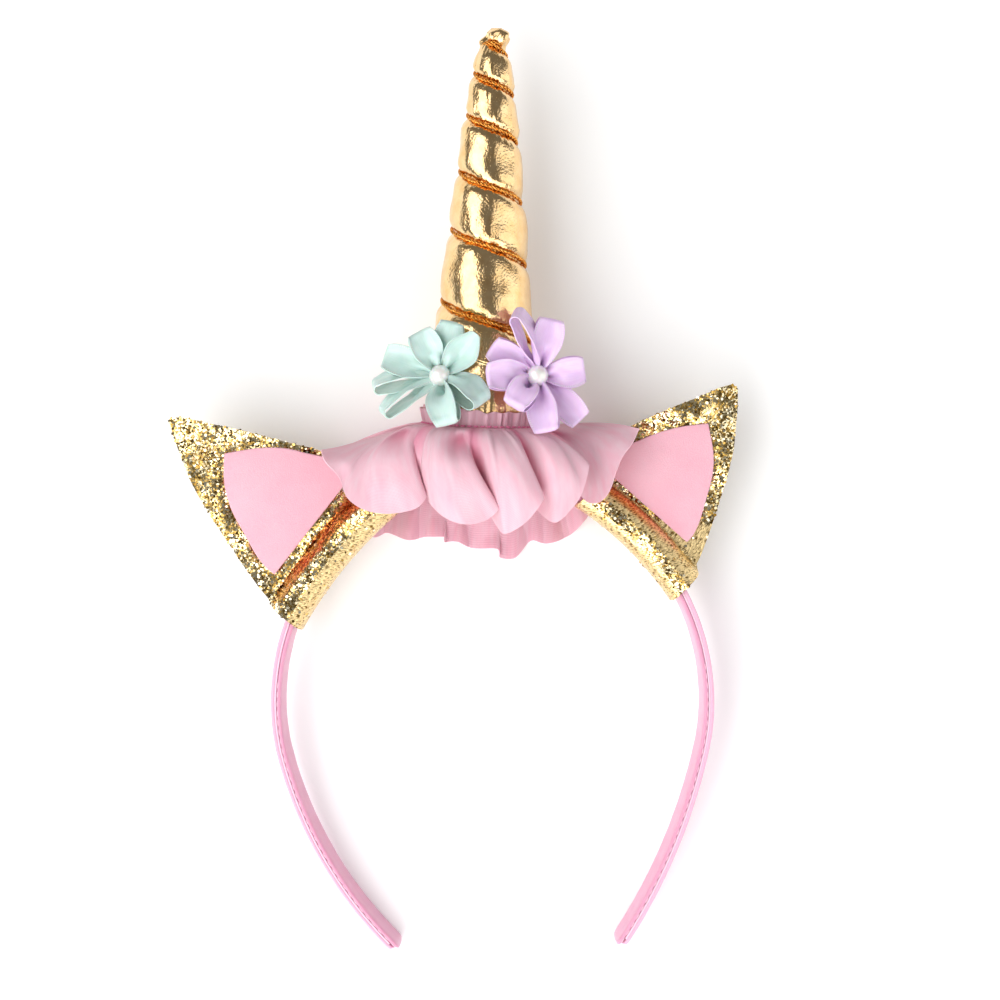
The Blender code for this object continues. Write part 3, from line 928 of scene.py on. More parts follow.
@dataclass(frozen=True)
class Arch:
    """The band's line: an arch over the crown and two legs that close in."""

    half_width: float = 0.0627
    height: float = 0.0665
    leg_length: float = 0.0620
    right_leg: tuple[float, float] = (12.0, 0.170)
    left_leg: tuple[float, float] = (14.8, 0.122)
    left_extra: float = 0.0026
    steps: int = 120

    def direction(self, degrees: float, inset: float = 0.0) -> Vector:
        """A point of the arch by its direction from the opening's middle, less an inset.

        Args:
            degrees: The direction.
            inset: How far inside the band's outer line.

        Returns:
            The point.
        """
        a = math.radians(degrees)
        tall = self.height if math.sin(a) > 0 else self.half_width
        x, y = math.cos(a) / (self.half_width - inset), math.sin(a) / (tall - inset)
        return Vector((math.cos(a), math.sin(a), 0)) / math.hypot(x, y)

    def leg(self, bend: float, radius: float, inset: float, overhang: float) -> list[Vector]:
        """A leg's points on the right side, from its tip up to the arch.

        Args:
            bend: Degrees below the horizontal where the leg starts.
            radius: The leg's radius.
            inset: How far inside the band's outer line.
            overhang: How much longer than the leg's length.

        Returns:
            The points.
        """
        start = math.radians(bend)
        turn = (self.leg_length + overhang) / radius
        centre = Vector((math.cos(start), -math.sin(start), 0)) * (self.half_width - radius)
        points = []
        for i in range(self.steps):
            a = start + turn * (1 - i / self.steps)
            points.append(centre + Vector((math.cos(a), -math.sin(a), 0)) * (radius - inset))
        return points

    def line(self, inset: float, overhang: float = 0.0) -> Line:
        """The whole line from the right tip to the left.

        Args:
            inset: How far inside the band's outer line.
            overhang: How much longer than the legs at both tips.

        Returns:
            The line.
        """
        right = self.leg(*self.right_leg, inset, overhang)
        mirrored = self.leg(*self.left_leg, inset, overhang + self.left_extra)
        left = [Vector((-p.x, p.y, 0)) for p in mirrored]
        low, high = -self.right_leg[0], 180 + self.left_leg[0]
        turns = [low + (high - low) * i / (2 * self.steps) for i in range(2 * self.steps + 1)]
        return Line(right + [self.direction(a, inset) for a in turns] + left[::-1])


@dataclass
class Band:
    """The springy band: a satin cover outside, a ribbon lining inside and a stitched seam between."""

    shop: Workshop
    arch: Arch
    strip: float = 0.0090
    cover: float = 0.0014
    lining: float = 0.0014
    seam: float = 0.0003
    splay: float = 7.0
    overhang: float = 0.0008
    rounding: float = 0.0026
    squareness: float = 0.42
    around: int = 36
    along: int = 420
    stitch: float = 0.0019
    stitch_step: float = 0.0027
    stitched: float = 0.245
    stitch_in: float = 0.00030
    thread: tuple[float, float] = (0.00030, 0.00024)
    ripple: float = 0.00006
    folded_edge_radius: float = 0.00034
    folded_edge_out: float = 0.00012
    # share of the tip's rounding, share of the section
    tip: tuple = ((0.0, 0.55), (0.10, 0.74), (0.30, 0.90), (0.60, 0.98), (1.0, 1.0))

    @property
    def thickness(self) -> float:
        """The band's whole thickness."""
        return self.cover + self.seam + self.lining

    @property
    def lean(self) -> float:
        """How far out the section leans for a unit of height."""
        return math.tan(math.radians(self.splay))

    def ribbon(self, name: str, middle: float, wall: float, overhang: float) -> bpy.types.Object:
        """One of the band's two layers.

        Args:
            name: The piece's name.
            middle: How far out from the band's middle its own middle lies.
            wall: Its thickness.
            overhang: How far it stands past the legs' ends.

        Returns:
            The piece.
        """
        line = self.arch.line(self.thickness / 2, overhang)

        def at(u: float, v: float) -> Vector:
            """Places the section's outline along the band's line.

            Args:
                u: The share across, from 0 to 1.
                v: The share along, from 0 to 1.

            Returns:
                The point in the flat frame.
            """
            a = 2 * math.pi * (u + 0.25)
            c, s = math.cos(a), math.sin(a)
            x = math.copysign(abs(c) ** self.squareness, c) * wall / 2
            z = math.copysign(abs(s) ** self.squareness, s) * self.strip / 2
            end = min(v, 1 - v) * line.length / self.rounding
            grow = read(self.tip, end)[0] if end < 1 else 1.0
            ripple = self.ripple * noise.noise(Vector((v * 90, 3 * c, 3 * s)))
            x = (middle + x) * grow + ripple
            z *= grow
            return line.point(v) + line.outward(v) * (x + z * self.lean) + FRONT_WAY * z

        cut = (2 * (wall + self.strip), line.length)
        piece = self.shop.surface(name, self.around, self.along, at, cut, wrap=True)
        return self.shop.smooth(self.shop.capped(piece))

    def stitches(self) -> bpy.types.Object:
        """The row of thread that shows along the seam of both legs.

        Returns:
            The piece.
        """
        line = self.arch.line(self.thickness / 2)
        count = int(line.length / self.stitch_step)
        places = []
        for i in range(count):
            share = (i + 0.5) / count
            if self.stitched < share < 1 - self.stitched:
                continue
            z = self.strip / 2 - 0.00002
            out = line.outward(share)
            place = line.point(share) + out * (z * self.lean - self.seam / 2 - self.stitch_in) + FRONT_WAY * z
            along = Vector((-out.y, out.x, 0))
            turned = Matrix((along, FRONT_WAY.cross(along), FRONT_WAY)).transposed().to_4x4()
            places.append(Matrix.Translation(place) @ turned)
        deselect()
        bpy.ops.mesh.primitive_uv_sphere_add(segments=8, ring_count=5, radius=0.5)
        model = bpy.context.object
        model.data.transform(Matrix.Rotation(math.pi / 2, 4, "Y"))
        model.data.transform(Matrix.Diagonal((self.stitch, *self.thread, 1)))
        piece = self.shop.scatter("band_stitches", model, places, [0.5] * len(places))
        return self.shop.smooth(piece)

    def highlit_edge(self) -> bpy.types.Object:
        """The cover's folded edge, which fills most of the seam, lighter than the cover as a painted
        highlight.

        Returns:
            The piece.
        """
        line = self.arch.line(self.thickness / 2)
        lines = []
        for way in (1, -1):
            z = way * (self.strip / 2 - self.folded_edge_radius)
            along = []
            for i in range(self.along + 1):
                share = 0.006 + 0.988 * i / self.along
                out = line.outward(share)
                along.append(line.point(share) + out * (z * self.lean + self.folded_edge_out) + FRONT_WAY * z)
            lines.append(along)
        return self.shop.strands("band_edge_painted_highlight", lines, self.folded_edge_radius, 6)

    def build(self) -> None:
        """Makes the cover, the lining, the folded edge and the stitches."""
        cover = self.ribbon("band_cover", self.seam / 2 + self.cover / 2, self.cover, 0.0)
        self.shop.hand_over(cover, BAND_SATIN, "pink_satin", "headband")
        inner = self.ribbon(
            "band_inner_ribbon", -self.seam / 2 - self.lining / 2, self.lining, self.overhang
        )
        self.shop.hand_over(inner, LINING_SATIN, "pink_lining", "band_lining")
        # Painted highlight: the cover's folded edge takes the lighter thread colour.
        self.shop.hand_over(self.highlit_edge(), STITCH_THREAD_AND_EDGE_HIGHLIGHT, "pink_satin")
        self.shop.hand_over(self.stitches(), STITCH_THREAD_AND_EDGE_HIGHLIGHT, "pink_satin")


# The horn


@dataclass
class Horn:
    """The stuffed gold horn and the cord wound down it, on an axis that leans a little to the right."""

    shop: Workshop
    length: float = 0.1230
    radius: float = 0.0146
    lean: float = 1.9
    base: Vector = field(default_factory=lambda: Vector((-0.0037, 0.06735, 0)))
    puff: float = 0.0011
    pinch: float = 0.0009
    crease_width: float = 0.0016
    gather: float = 0.00050
    gather_reach: float = 0.0022
    full_pitch: float = 0.014
    dent: float = 0.0005
    crinkle: float = 0.00010
    foot_pleat: float = 0.0007
    bunch: float = 0.0006
    tip_bend: float = 0.0012
    around: int = 168
    along: int = 400
    # share of the length, share of the radius
    profile: tuple = (
        (0.000, 0.80),
        (0.012, 0.89),
        (0.054, 0.97),
        (0.102, 1.00),
        (0.167, 0.99),
        (0.224, 0.96),
        (0.346, 0.866),
        (0.655, 0.589),
        (0.838, 0.418),
        (0.932, 0.288),
        (0.958, 0.195),
        (0.974, 0.222),
        (0.990, 0.195),
        (1.000, 0.10),
    )
    # turns of the cord from the tip, share of the length where it crosses the front
    turns: tuple = (
        (0.0, 0.963),
        (1.0, 0.876),
        (2.0, 0.776),
        (3.0, 0.642),
        (4.0, 0.508),
        (5.0, 0.338),
        (6.0, 0.151),
    )
    tie_turns: float = 1.15
    tie_height: float = 0.004
    last_turn: float = 5.75
    cord: float = 0.00112
    strand: float = 0.00031
    twist: float = 0.0025
    strand_count: int = 2
    steps_per_turn: int = 420
    sunk: float = 0.6
    proud: float = 0.40

    def axis(self) -> Vector:
        """The horn's direction."""
        a = math.radians(self.lean)
        return Vector((math.sin(a), math.cos(a), 0))

    def point(self, share: float, degrees: float, radius: float) -> Vector:
        """A point at a share of the length, an angle round the axis (90 is the front) and a radius.

        Args:
            share: The share of the horn's length.
            degrees: The angle round the axis, 90 at the front.
            radius: The distance from the axis.

        Returns:
            The point in the flat frame.
        """
        axis = self.axis()
        a = math.radians(degrees)
        side = Vector((axis.y, -axis.x, 0))
        around = side * (radius * math.cos(a)) + FRONT_WAY * (radius * math.sin(a))
        return self.base + axis * (self.length * share) + around

    def turn_at(self, share: float) -> tuple[float, float]:
        """The cord's turns down to a share of the length at the front, and the pitch of a turn there.

        Args:
            share: The share of the horn's length.

        Returns:
            The turns and the pitch.
        """
        rows = self.turns
        if share >= rows[0][1]:
            pitch = rows[0][1] - rows[1][1]
            return (rows[0][1] - share) / pitch, pitch * self.length
        for high, low in zip(rows, rows[1:]):
            if share >= low[1]:
                break
        pitch = high[1] - low[1]
        return high[0] + (high[1] - share) / pitch, pitch * self.length

    def swell(self, share: float, degrees: float) -> float:
        """How far the skin stands out from the profile: puffs between the turns, and creases at them.

        Args:
            share: The share of the horn's length.
            degrees: The angle round the axis, 90 at the front.

        Returns:
            The distance, negative in a crease.
        """
        turn, pitch = self.turn_at(share)
        phase = turn - (90 - degrees) / 360
        nearest = round(phase)
        if phase < -0.5 or nearest > self.last_turn:
            return 0.0
        away = abs(phase - nearest) * pitch
        size = min(1.0, pitch / self.full_pitch)
        full = min(1.0, away / (0.30 * pitch))
        puff = self.puff * size * (1 - (1 - full) ** 2.2)
        crease = self.pinch * math.exp(-((away / self.crease_width) ** 2))
        a = math.radians(degrees)
        ring = Vector((math.cos(a), math.sin(a), 0))
        folds = noise.noise(ring * 7 + Vector((0, 0, share * 9 + 11 * nearest)))
        gathers = self.gather * size * folds * math.exp(-away / self.gather_reach)
        return puff - crease + gathers

    def dents(self, share: float, degrees: float) -> float:
        """Soft dents of the stuffing, and the gathers at the foot and in the tied tip.

        Args:
            share: The share of the horn's length.
            degrees: The angle round the axis, 90 at the front.

        Returns:
            How far they move the skin out.
        """
        a = math.radians(degrees)
        ring = Vector((math.cos(a), math.sin(a), 0))
        soft = self.dent * noise.noise(ring * 1.4 + Vector((0, 0, share * 16)))
        crinkle = self.crinkle * noise.noise(ring * 4.5 + Vector((0, 0, share * 34 + 5)))
        foot = (1 - ease(share, 0.10, 0.26)) * self.foot_pleat
        pleats = foot * (abs(noise.noise(ring * 6 + Vector((0, 0, share * 6)))) - 0.2)
        tied = ease(share, 0.955, 0.975) * self.bunch
        bunch = tied * math.cos(5 * a + 9 * share) * (1 - ease(share, 0.985, 1.0))
        return (soft + crinkle) * (1 - ease(share, 0.93, 0.96)) + pleats + bunch

    def skin(self, share: float, degrees: float) -> float:
        """The skin's radius."""
        plain = read(self.profile, share)[0] * self.radius
        return plain + self.swell(share, degrees) + self.dents(share, degrees)

    def make_skin(self) -> bpy.types.Object:
        """The gold cloth over the stuffing.

        Returns:
            The piece.
        """

        def at(u: float, v: float) -> Vector:
            """Places the skin, with its tip bent a little to the right.

            Args:
                u: The share across, from 0 to 1.
                v: The share along, from 0 to 1.

            Returns:
                The point in the flat frame.
            """
            degrees = 360 * u - 90
            place = self.point(v, degrees, max(0.0003, self.skin(v, degrees)))
            place.x += self.tip_bend * ease(v, 0.965, 1.0)
            return place

        cut = (2 * math.pi * self.radius, self.length)
        piece = self.shop.surface("horn_skin", self.around, self.along, at, cut, wrap=True)
        return self.shop.smooth(self.shop.capped(piece))

    def cord_point(self, turn: float) -> tuple[Vector, Vector]:
        """The cord's middle at a number of turns from the tip, and the way out from the horn there.

        Args:
            turn: The number of turns, negative in the tie at the tip.

        Returns:
            The middle and the way out.
        """
        if turn > 0:
            share = read(self.turns, turn)[0]
        else:
            share = self.turns[0][1] - self.tie_height * turn / self.tie_turns
        degrees = 90 - 360 * turn
        base = read(self.profile, share)[0] * self.radius - self.sunk * self.pinch
        place = self.point(share, degrees, base + self.proud * self.cord)
        return place, (place - self.point(share, degrees, 0)).normalized()

    def make_cord(self) -> bpy.types.Object:
        """The twisted cord: strands that turn round its line.

        Returns:
            The piece.
        """
        turns = self.last_turn + self.tie_turns
        count = round(turns * self.steps_per_turn)
        line = [self.cord_point(-self.tie_turns + turns * i / count) for i in range(count + 1)]
        run = 0.0
        lines: list[list[Vector]] = [[] for _ in range(self.strand_count)]
        for i, (place, out) in enumerate(line):
            before, after = line[max(i - 1, 0)][0], line[min(i + 1, count)][0]
            if i:
                run += (place - before).length
            side = (after - before).normalized().cross(out)
            for k, strand in enumerate(lines):
                a = 2 * math.pi * (run / self.twist + k / self.strand_count)
                off = out * math.cos(a) + side * math.sin(a)
                strand.append(place + off * (self.cord / 2 - self.strand))
        return self.shop.strands("horn_winding", lines, self.strand, 6)

    def build(self) -> None:
        """Makes the skin and the cord."""
        skin = self.shop.hand_over(self.make_skin(), GOLD_LAME, "gold_lame", "horn")
        self.shop.hand_over(self.make_cord(), GOLD_CORD, "gold_cord", "horn_cord")


# The ears


@dataclass(frozen=True)
class EarSizes:
    """One ear's own sizes, with directions and turns in degrees and shares along the sleeve or out from it.

    The sleeve runs between two directions of the arch. Its glitter has worn off below one share of its depth
    and above another, and the painted shade in its valley, dark to orange, fades in between two shares of its
    length.
    """

    low: float
    high: float
    turn: float
    length: float
    blunt: float
    flakes: int
    seed: int
    worn_below: float
    worn_above: float
    valley_shade_fade: tuple[float, float]
    calm: float
    panel_reach: float


@dataclass
class Ear:
    """A glitter sheet folded round the band, glued flat to make a pointed plate, with a felt panel."""

    shop: Workshop
    arch: Arch
    band: Band
    side: Side
    sizes: EarSizes
    width: float = 0.0440
    depth: float = 0.0125
    half_height: float = 0.0062
    bow: float = 0.0020
    sheet: float = 0.0008
    clearance: float = 0.0004
    inner_wall: float = 0.0012
    panel: tuple[float, float] = (0.036, 0.034)
    panel_round: float = 0.0003
    flake: tuple[float, float] = (0.00033, 0.00005)
    flake_grain: float = 150.0
    flake_sway: float = 0.62
    flake_tilt: float = 0.11
    columns: int = 60
    plate_rows: int = 44
    sleeve_rows: int = 56
    # outward as a share of what stands out of the sleeve, along as a share of the width
    lower_edge: tuple = (
        (-0.05, 0.020),
        (0.067, 0.050),
        (0.315, 0.150),
        (0.681, 0.325),
        (0.876, 0.475),
        (1.000, 0.590),
    )
    upper_edge: tuple = (
        (-0.05, 0.985),
        (0.135, 0.995),
        (0.258, 1.000),
        (0.389, 0.935),
        (0.654, 0.805),
        (0.922, 0.650),
        (1.000, 0.590),
    )
    # outward as a share of the sleeve's depth, height as a share of its half height
    section: tuple = (
        (1.02, 0.07),
        (0.93, 0.10),
        (0.85, 0.24),
        (0.77, 0.50),
        (0.68, 0.76),
        (0.57, 0.92),
        (0.42, 0.97),
        (0.26, 0.95),
        (0.13, 0.86),
        (0.05, 0.66),
        (0.02, 0.35),
        (0.02, 0.00),
    )

    def frame(self) -> Matrix:
        """X along the sleeve from its lower to its upper end, Y outwards and Z to the front.

        Returns:
            The matrix from the ear's frame to the flat one.
        """
        low, high = self.ends()
        along = (high - low).normalized()
        out = Vector((-along.y, along.x, 0))
        if out.dot(low) < 0:
            out = -out
        made = Matrix((along, out, FRONT_WAY)).transposed().to_4x4()
        made.translation = low
        return made

    def ends(self) -> tuple[Vector, Vector]:
        """The sleeve's two ends on its inner side."""
        inset = self.band.thickness + self.clearance + self.inner_wall
        return self.arch.direction(self.sizes.low, inset), self.arch.direction(self.sizes.high, inset)

    def path(self, v: float) -> tuple[float, float, float]:
        """Where the folded sheet runs at a share of its way from the front tip to the back tip.

        Args:
            v: The share, 0 at the front layer's tip, 1 at the back layer's.

        Returns:
            Outward past the sleeve as a share of the plate, outward in the sleeve in metres, and height.
        """
        way = 1 if v <= 0.5 else -1
        s = 1 - abs(2 * v - 1)
        plate = self.plate_rows / (self.plate_rows + self.sleeve_rows / 2)
        if s < plate:
            return 1 - s / plate, self.depth, way * 0.07 * self.half_height
        out, high = through(self.section, (s - plate) / (1 - plate))
        return 0.0, out * self.depth, way * high * self.half_height

    def edges(self, out: float) -> tuple[float, float]:
        """Where the plate's lower and upper edges lie along the sleeve, at a share of its way out."""
        cut = self.sizes.blunt * ease(out, 0.75, 1.0)
        return read(self.lower_edge, out)[0] - cut, read(self.upper_edge, out)[0] + cut

    def at(self, u: float, v: float) -> Vector:
        """A point of the folded sheet, with u from the lower to the upper edge.

        Args:
            u: The share across, from 0 to 1.
            v: The share along, from 0 to 1.

        Returns:
            The point in the flat frame.
        """
        out_plate, out, z = self.path(v)
        low, high = self.ends()
        length = (high - low).length
        turned = Matrix.Rotation(math.radians(self.sizes.turn), 4, FRONT_WAY)
        lower, upper = self.edges(out_plate)
        along = (lower + (upper - lower) * u) * self.width
        plate = Vector((along, self.depth + out_plate * (self.sizes.length - self.depth), 0))
        plate = (turned @ plate) + Vector((0, 0, z))
        if out_plate > 0:
            return self.frame() @ plate
        t = u * length
        arched = self.bow * (1 - (2 * u - 1) ** 2)
        rounded = Vector((t, out + arched + z * self.band.lean, z))
        joined = ease(out, 0.78 * self.depth, 1.02 * self.depth)
        plate.y += out - self.depth
        return self.frame() @ rounded.lerp(plate, joined)

    def make_sheet(self) -> bpy.types.Object:
        """The folded sheet, walled, with how much painted valley shade each point gets.

        Returns:
            The piece.
        """
        rows = 2 * self.plate_rows + self.sleeve_rows
        cut = (self.width, 2 * self.sizes.length)
        piece = self.shop.surface(f"ear_{self.side.value}_sheet", self.columns, rows, self.at, cut)
        self.shop.edit(piece, lambda: bpy.ops.mesh.remove_doubles(threshold=1e-5))
        self.shop.walled(piece, self.sheet)
        # Painted shade, dark to orange, in the valley between plate and sleeve.
        shade = piece.data.attributes.new("valley_painted_shade", "FLOAT", "POINT")
        long = 2 * self.sizes.length / MM
        for vert, point in zip(piece.data.attributes["cloth"].data, shade.data):
            u, v = vert.vector.x * MM / self.width, vert.vector.y / long
            point.value = self.valley_painted_shade(u, v)
        self.shop.smooth(piece, 50)
        return piece

    def valley_painted_shade(self, u: float, v: float) -> float:
        """How much painted shade, dark to orange, a place of the sheet gets: it lies in the valley between
        plate and sleeve.

        Args:
            u: The share across, from 0 to 1.
            v: The share along, from 0 to 1.

        Returns:
            A number from 0 to 1.
        """
        out_plate, out, _ = self.path(v)
        if v > 0.5 or out_plate > 0:
            return 0.0
        share = out / self.depth
        across = ease(share, 0.54, 0.64) * (1 - ease(share, 0.97, 1.0))
        return 0.92 * across * ease(u, *self.sizes.valley_shade_fade)

    def bare(self, u: float, v: float) -> bool:
        """Whether a place of the sheet has lost its glitter and shows the woven cloth under it.

        Args:
            u: The share across, from 0 to 1.
            v: The share along, from 0 to 1.

        Returns:
            Whether it is bare.
        """
        out_plate, out, _ = self.path(v)
        share = out / self.depth
        if out_plate == 0:
            return share < self.sizes.worn_below or (v < 0.5 and share > self.sizes.worn_above)
        strip = 0.05 + 0.20 * (1 - ease(u, 0.0, 0.45))
        return v < 0.5 and self.sizes.worn_above < 1 and out_plate < strip

    def calm(self, u: float, v: float) -> float:
        """How evenly the flakes lie: flat at the plate's tip, along its root and at its lower corner.

        Args:
            u: The share across, from 0 to 1.
            v: The share along, from 0 to 1.

        Returns:
            A number from 0 to 1.
        """
        out_plate, _, _ = self.path(v)
        if v > 0.5 or out_plate == 0:
            return 0.0
        tip, root, corner = ease(out_plate, 0.70, 0.92), ease(out_plate, 0.05, 0.13), ease(u, 0.02, 0.12)
        return self.sizes.calm * max(tip, 1 - root, 1 - corner)

    def normal(self, u: float, v: float) -> Vector:
        """The way off the sheet's outer side.

        Args:
            u: The share across, from 0 to 1.
            v: The share along, from 0 to 1.

        Returns:
            The direction, of length 1.
        """
        step = 0.002
        across = self.at(min(1, u + step), v) - self.at(max(0, u - step), v)
        along = self.at(u, min(1, v + step)) - self.at(u, max(0, v - step))
        way = across.cross(along).normalized()
        front = 1 if v < 0.5 else -1
        return way if way.z * front > 0 else -way

    def make_flakes(self) -> bpy.types.Object:
        """Loose chunky flakes over the glitter, and only a few where it has worn off.

        Returns:
            The piece.
        """
        draw = random.Random(self.sizes.seed)
        noise.seed_set(self.sizes.seed)
        places, tints = [], []
        while len(places) < self.sizes.flakes:
            v = draw.random()
            u = draw.random()
            lower, upper = self.edges(self.path(v)[0])
            if draw.random() > (upper - lower) or self.valley_painted_shade(u, v) > 0.3:
                continue
            if self.bare(u, v) and draw.random() > 0.08:
                continue
            place, way = self.at(u, v), self.normal(u, v)
            sway = self.flake_sway * (1 - self.calm(u, v))
            tilt = noise.noise_vector(place * self.flake_grain) * sway + Vector((0.05, 0, 0))
            tilt += Vector([draw.gauss(0, self.flake_tilt) for _ in range(3)])
            turned = (way + tilt).to_track_quat("Z", "Y").to_matrix().to_4x4()
            size = draw.uniform(0.5, 1.45)
            lift = way * (self.sheet / 2 + draw.uniform(0.00002, 0.00022))
            spin = Matrix.Rotation(draw.uniform(0, math.pi), 4, "Z")
            scaled = Matrix.Diagonal((size, size, 1, 1))
            places.append(Matrix.Translation(place + lift) @ turned @ spin @ scaled)
            tints.append(draw.random())
        deselect()
        bpy.ops.mesh.primitive_cylinder_add(vertices=6, radius=self.flake[0], depth=self.flake[1])
        model = bpy.context.object
        return self.shop.scatter(f"ear_{self.side.value}_flakes", model, places, tints)

    def make_panel(self) -> bpy.types.Object:
        """The felt panel: the solid's outline, reaching under the ruffle, with a soft rounded edge.

        Returns:
            The piece.
        """
        solid = bpy.data.objects[f"ear_{self.side.value}_panel"]
        piece = bpy.data.objects.new(f"ear_{self.side.value}_felt", solid.data.copy())
        bpy.context.scene.collection.objects.link(piece)
        self.shop.edit(
            piece,
            lambda: bpy.ops.mesh.remove_doubles(threshold=1e-5),
            lambda: bpy.ops.mesh.dissolve_limited(angle_limit=math.radians(1)),
        )
        whole = self.shop.lie @ self.frame()
        for vert in piece.data.vertices:
            place = whole.inverted() @ vert.co
            place.x += self.sizes.panel_reach * ease(place.x, 0.45 * self.width, 0.80 * self.width)
            vert.co = whole @ place
        self.shop.finish(piece, "BEVEL", width=self.panel_round, segments=3, limit_method="ANGLE")
        area = sum(face.area for face in piece.data.polygons) / 2
        min(area, math.prod(self.panel))
        return self.shop.smooth(piece, 40)

    def build(self) -> None:
        """Makes the sheet, its flakes and the panel."""
        name = f"ear_{self.side.value}"
        sheet = self.shop.hand_over(self.make_sheet(), GOLD_GLITTER, "gold_glitter", name)
        sheet.data.materials.append(WOVEN_GOLD.material())
        cloth = sheet.data.attributes["cloth"].data
        for face in sheet.data.polygons:
            flat = cloth[face.vertices[0]].vector * MM
            if self.bare(flat.x / self.width, flat.y / (2 * self.sizes.length)):
                face.material_index = 1
        self.shop.hand_over(self.make_flakes(), GLITTER_FLAKE, "gold_glitter")
        self.shop.hand_over(self.make_panel(), PANEL_FELT, "pink_felt", name + "_panel")


LEFT_EAR = EarSizes(
    low=158.7,
    high=115.8,
    turn=2.8,
    length=0.0655,
    blunt=0.012,
    flakes=6200,
    seed=5,
    worn_below=0.34,
    worn_above=2.0,
    valley_shade_fade=(-0.10, 0.35),
    calm=0.9,
    panel_reach=0.0036,
)
RIGHT_EAR = EarSizes(
    low=30.1,
    high=67.6,
    turn=-4.0,
    length=0.0578,
    blunt=0.020,
    flakes=4800,
    seed=8,
    worn_below=0.22,
    worn_above=0.46,
    valley_shade_fade=(0.22, 0.75),
    calm=0.0,
    panel_reach=0.0,
)


# The ruffle


class HemPoint(NamedTuple):
    """Where the hem hangs, from the gather's middle: to the side, down and to the front, in millimetres.

    The last number tells how deep in a fold it is, from 0 on an open lobe to 1.
    """

    side: float
    drop: float
    lift: float
    fold: float = 0.0


class Pocket(NamedTuple):
    """A hollow of the front cloth: its share along the gather and down the cloth, and its depth."""

    along: float
    down: float
    depth: float


FRONT_HEM = (
    HemPoint(-45.0, 6.5, 9),
    HemPoint(-43.5, 10.0, 11),
    HemPoint(-40.0, 14.0, 12),
    HemPoint(-37.5, 19.5, 12),
    HemPoint(-32.0, 23.0, 14),
    HemPoint(-25.0, 23.8, 17),
    HemPoint(-18.0, 22.0, 19),
    HemPoint(-15.2, 18.5, 18, 0.2),
    HemPoint(-17.5, 16.0, 12, 0.6),
    HemPoint(-20.0, 15.5, 9, 1.0),
    HemPoint(-17.5, 16.0, 12, 0.6),
    HemPoint(-15.5, 18.0, 15),
    HemPoint(-13.5, 21.5, 18),
    HemPoint(-9.5, 24.5, 21),
    HemPoint(-4.0, 26.0, 23),
    HemPoint(1.5, 25.0, 23.5),
    HemPoint(5.2, 21.5, 22),
    HemPoint(2.5, 19.0, 16, 0.5),
    HemPoint(-1.0, 19.0, 12, 1.0),
    HemPoint(1.5, 22.0, 14, 0.6),
    HemPoint(4.5, 27.0, 17),
    HemPoint(7.0, 29.0, 19),
    HemPoint(12.0, 26.0, 22),
    HemPoint(15.5, 22.0, 23),
    HemPoint(17.5, 18.5, 21),
    HemPoint(15.0, 17.5, 15, 0.6),
    HemPoint(13.5, 19.0, 12, 1.0),
    HemPoint(16.0, 23.0, 14),
    HemPoint(20.5, 26.0, 17),
    HemPoint(25.0, 22.0, 20),
    HemPoint(28.0, 17.5, 21),
    HemPoint(30.0, 10.0, 19),
    HemPoint(27.5, 12.0, 13, 0.7),
    HemPoint(27.0, 17.0, 9, 1.0),
    HemPoint(30.0, 21.0, 10),
    HemPoint(33.0, 21.0, 12),
    HemPoint(36.0, 17.5, 14),
    HemPoint(39.0, 9.0, 14),
    HemPoint(42.5, 4.0, 12),
    HemPoint(44.5, 0.5, 10),
)
# The hollows are dented into the front cloth, and their colour is deepened as painted shade.
POCKETS = (Pocket(0.150, 0.36, 0.0045), Pocket(0.405, 0.40, 0.0050), Pocket(0.865, 0.26, 0.0035))
BACK_HEM = (
    HemPoint(-38.0, 6.0, -9),
    HemPoint(-40.0, 15.0, -10),
    HemPoint(-36.0, 26.0, -11),
    HemPoint(-31.5, 32.8, -12),
    HemPoint(-27.0, 32.0, -14),
    HemPoint(-21.0, 33.8, -12),
    HemPoint(-15.5, 33.0, -14),
    HemPoint(-10.5, 33.0, -12),
    HemPoint(-10.5, 34.6, -14),
    HemPoint(-6.5, 34.4, -12),
    HemPoint(-2.6, 36.4, -14),
    HemPoint(4.5, 36.4, -12),
    HemPoint(5.5, 39.2, -14),
    HemPoint(10.0, 38.8, -12),
    HemPoint(14.6, 34.2, -14),
    HemPoint(18.8, 34.8, -12),
    HemPoint(25.4, 32.8, -14),
    HemPoint(30.0, 28.0, -12),
    HemPoint(35.0, 20.0, -11),
    HemPoint(38.0, 12.0, -10),
    HemPoint(37.0, 4.0, -9),
)


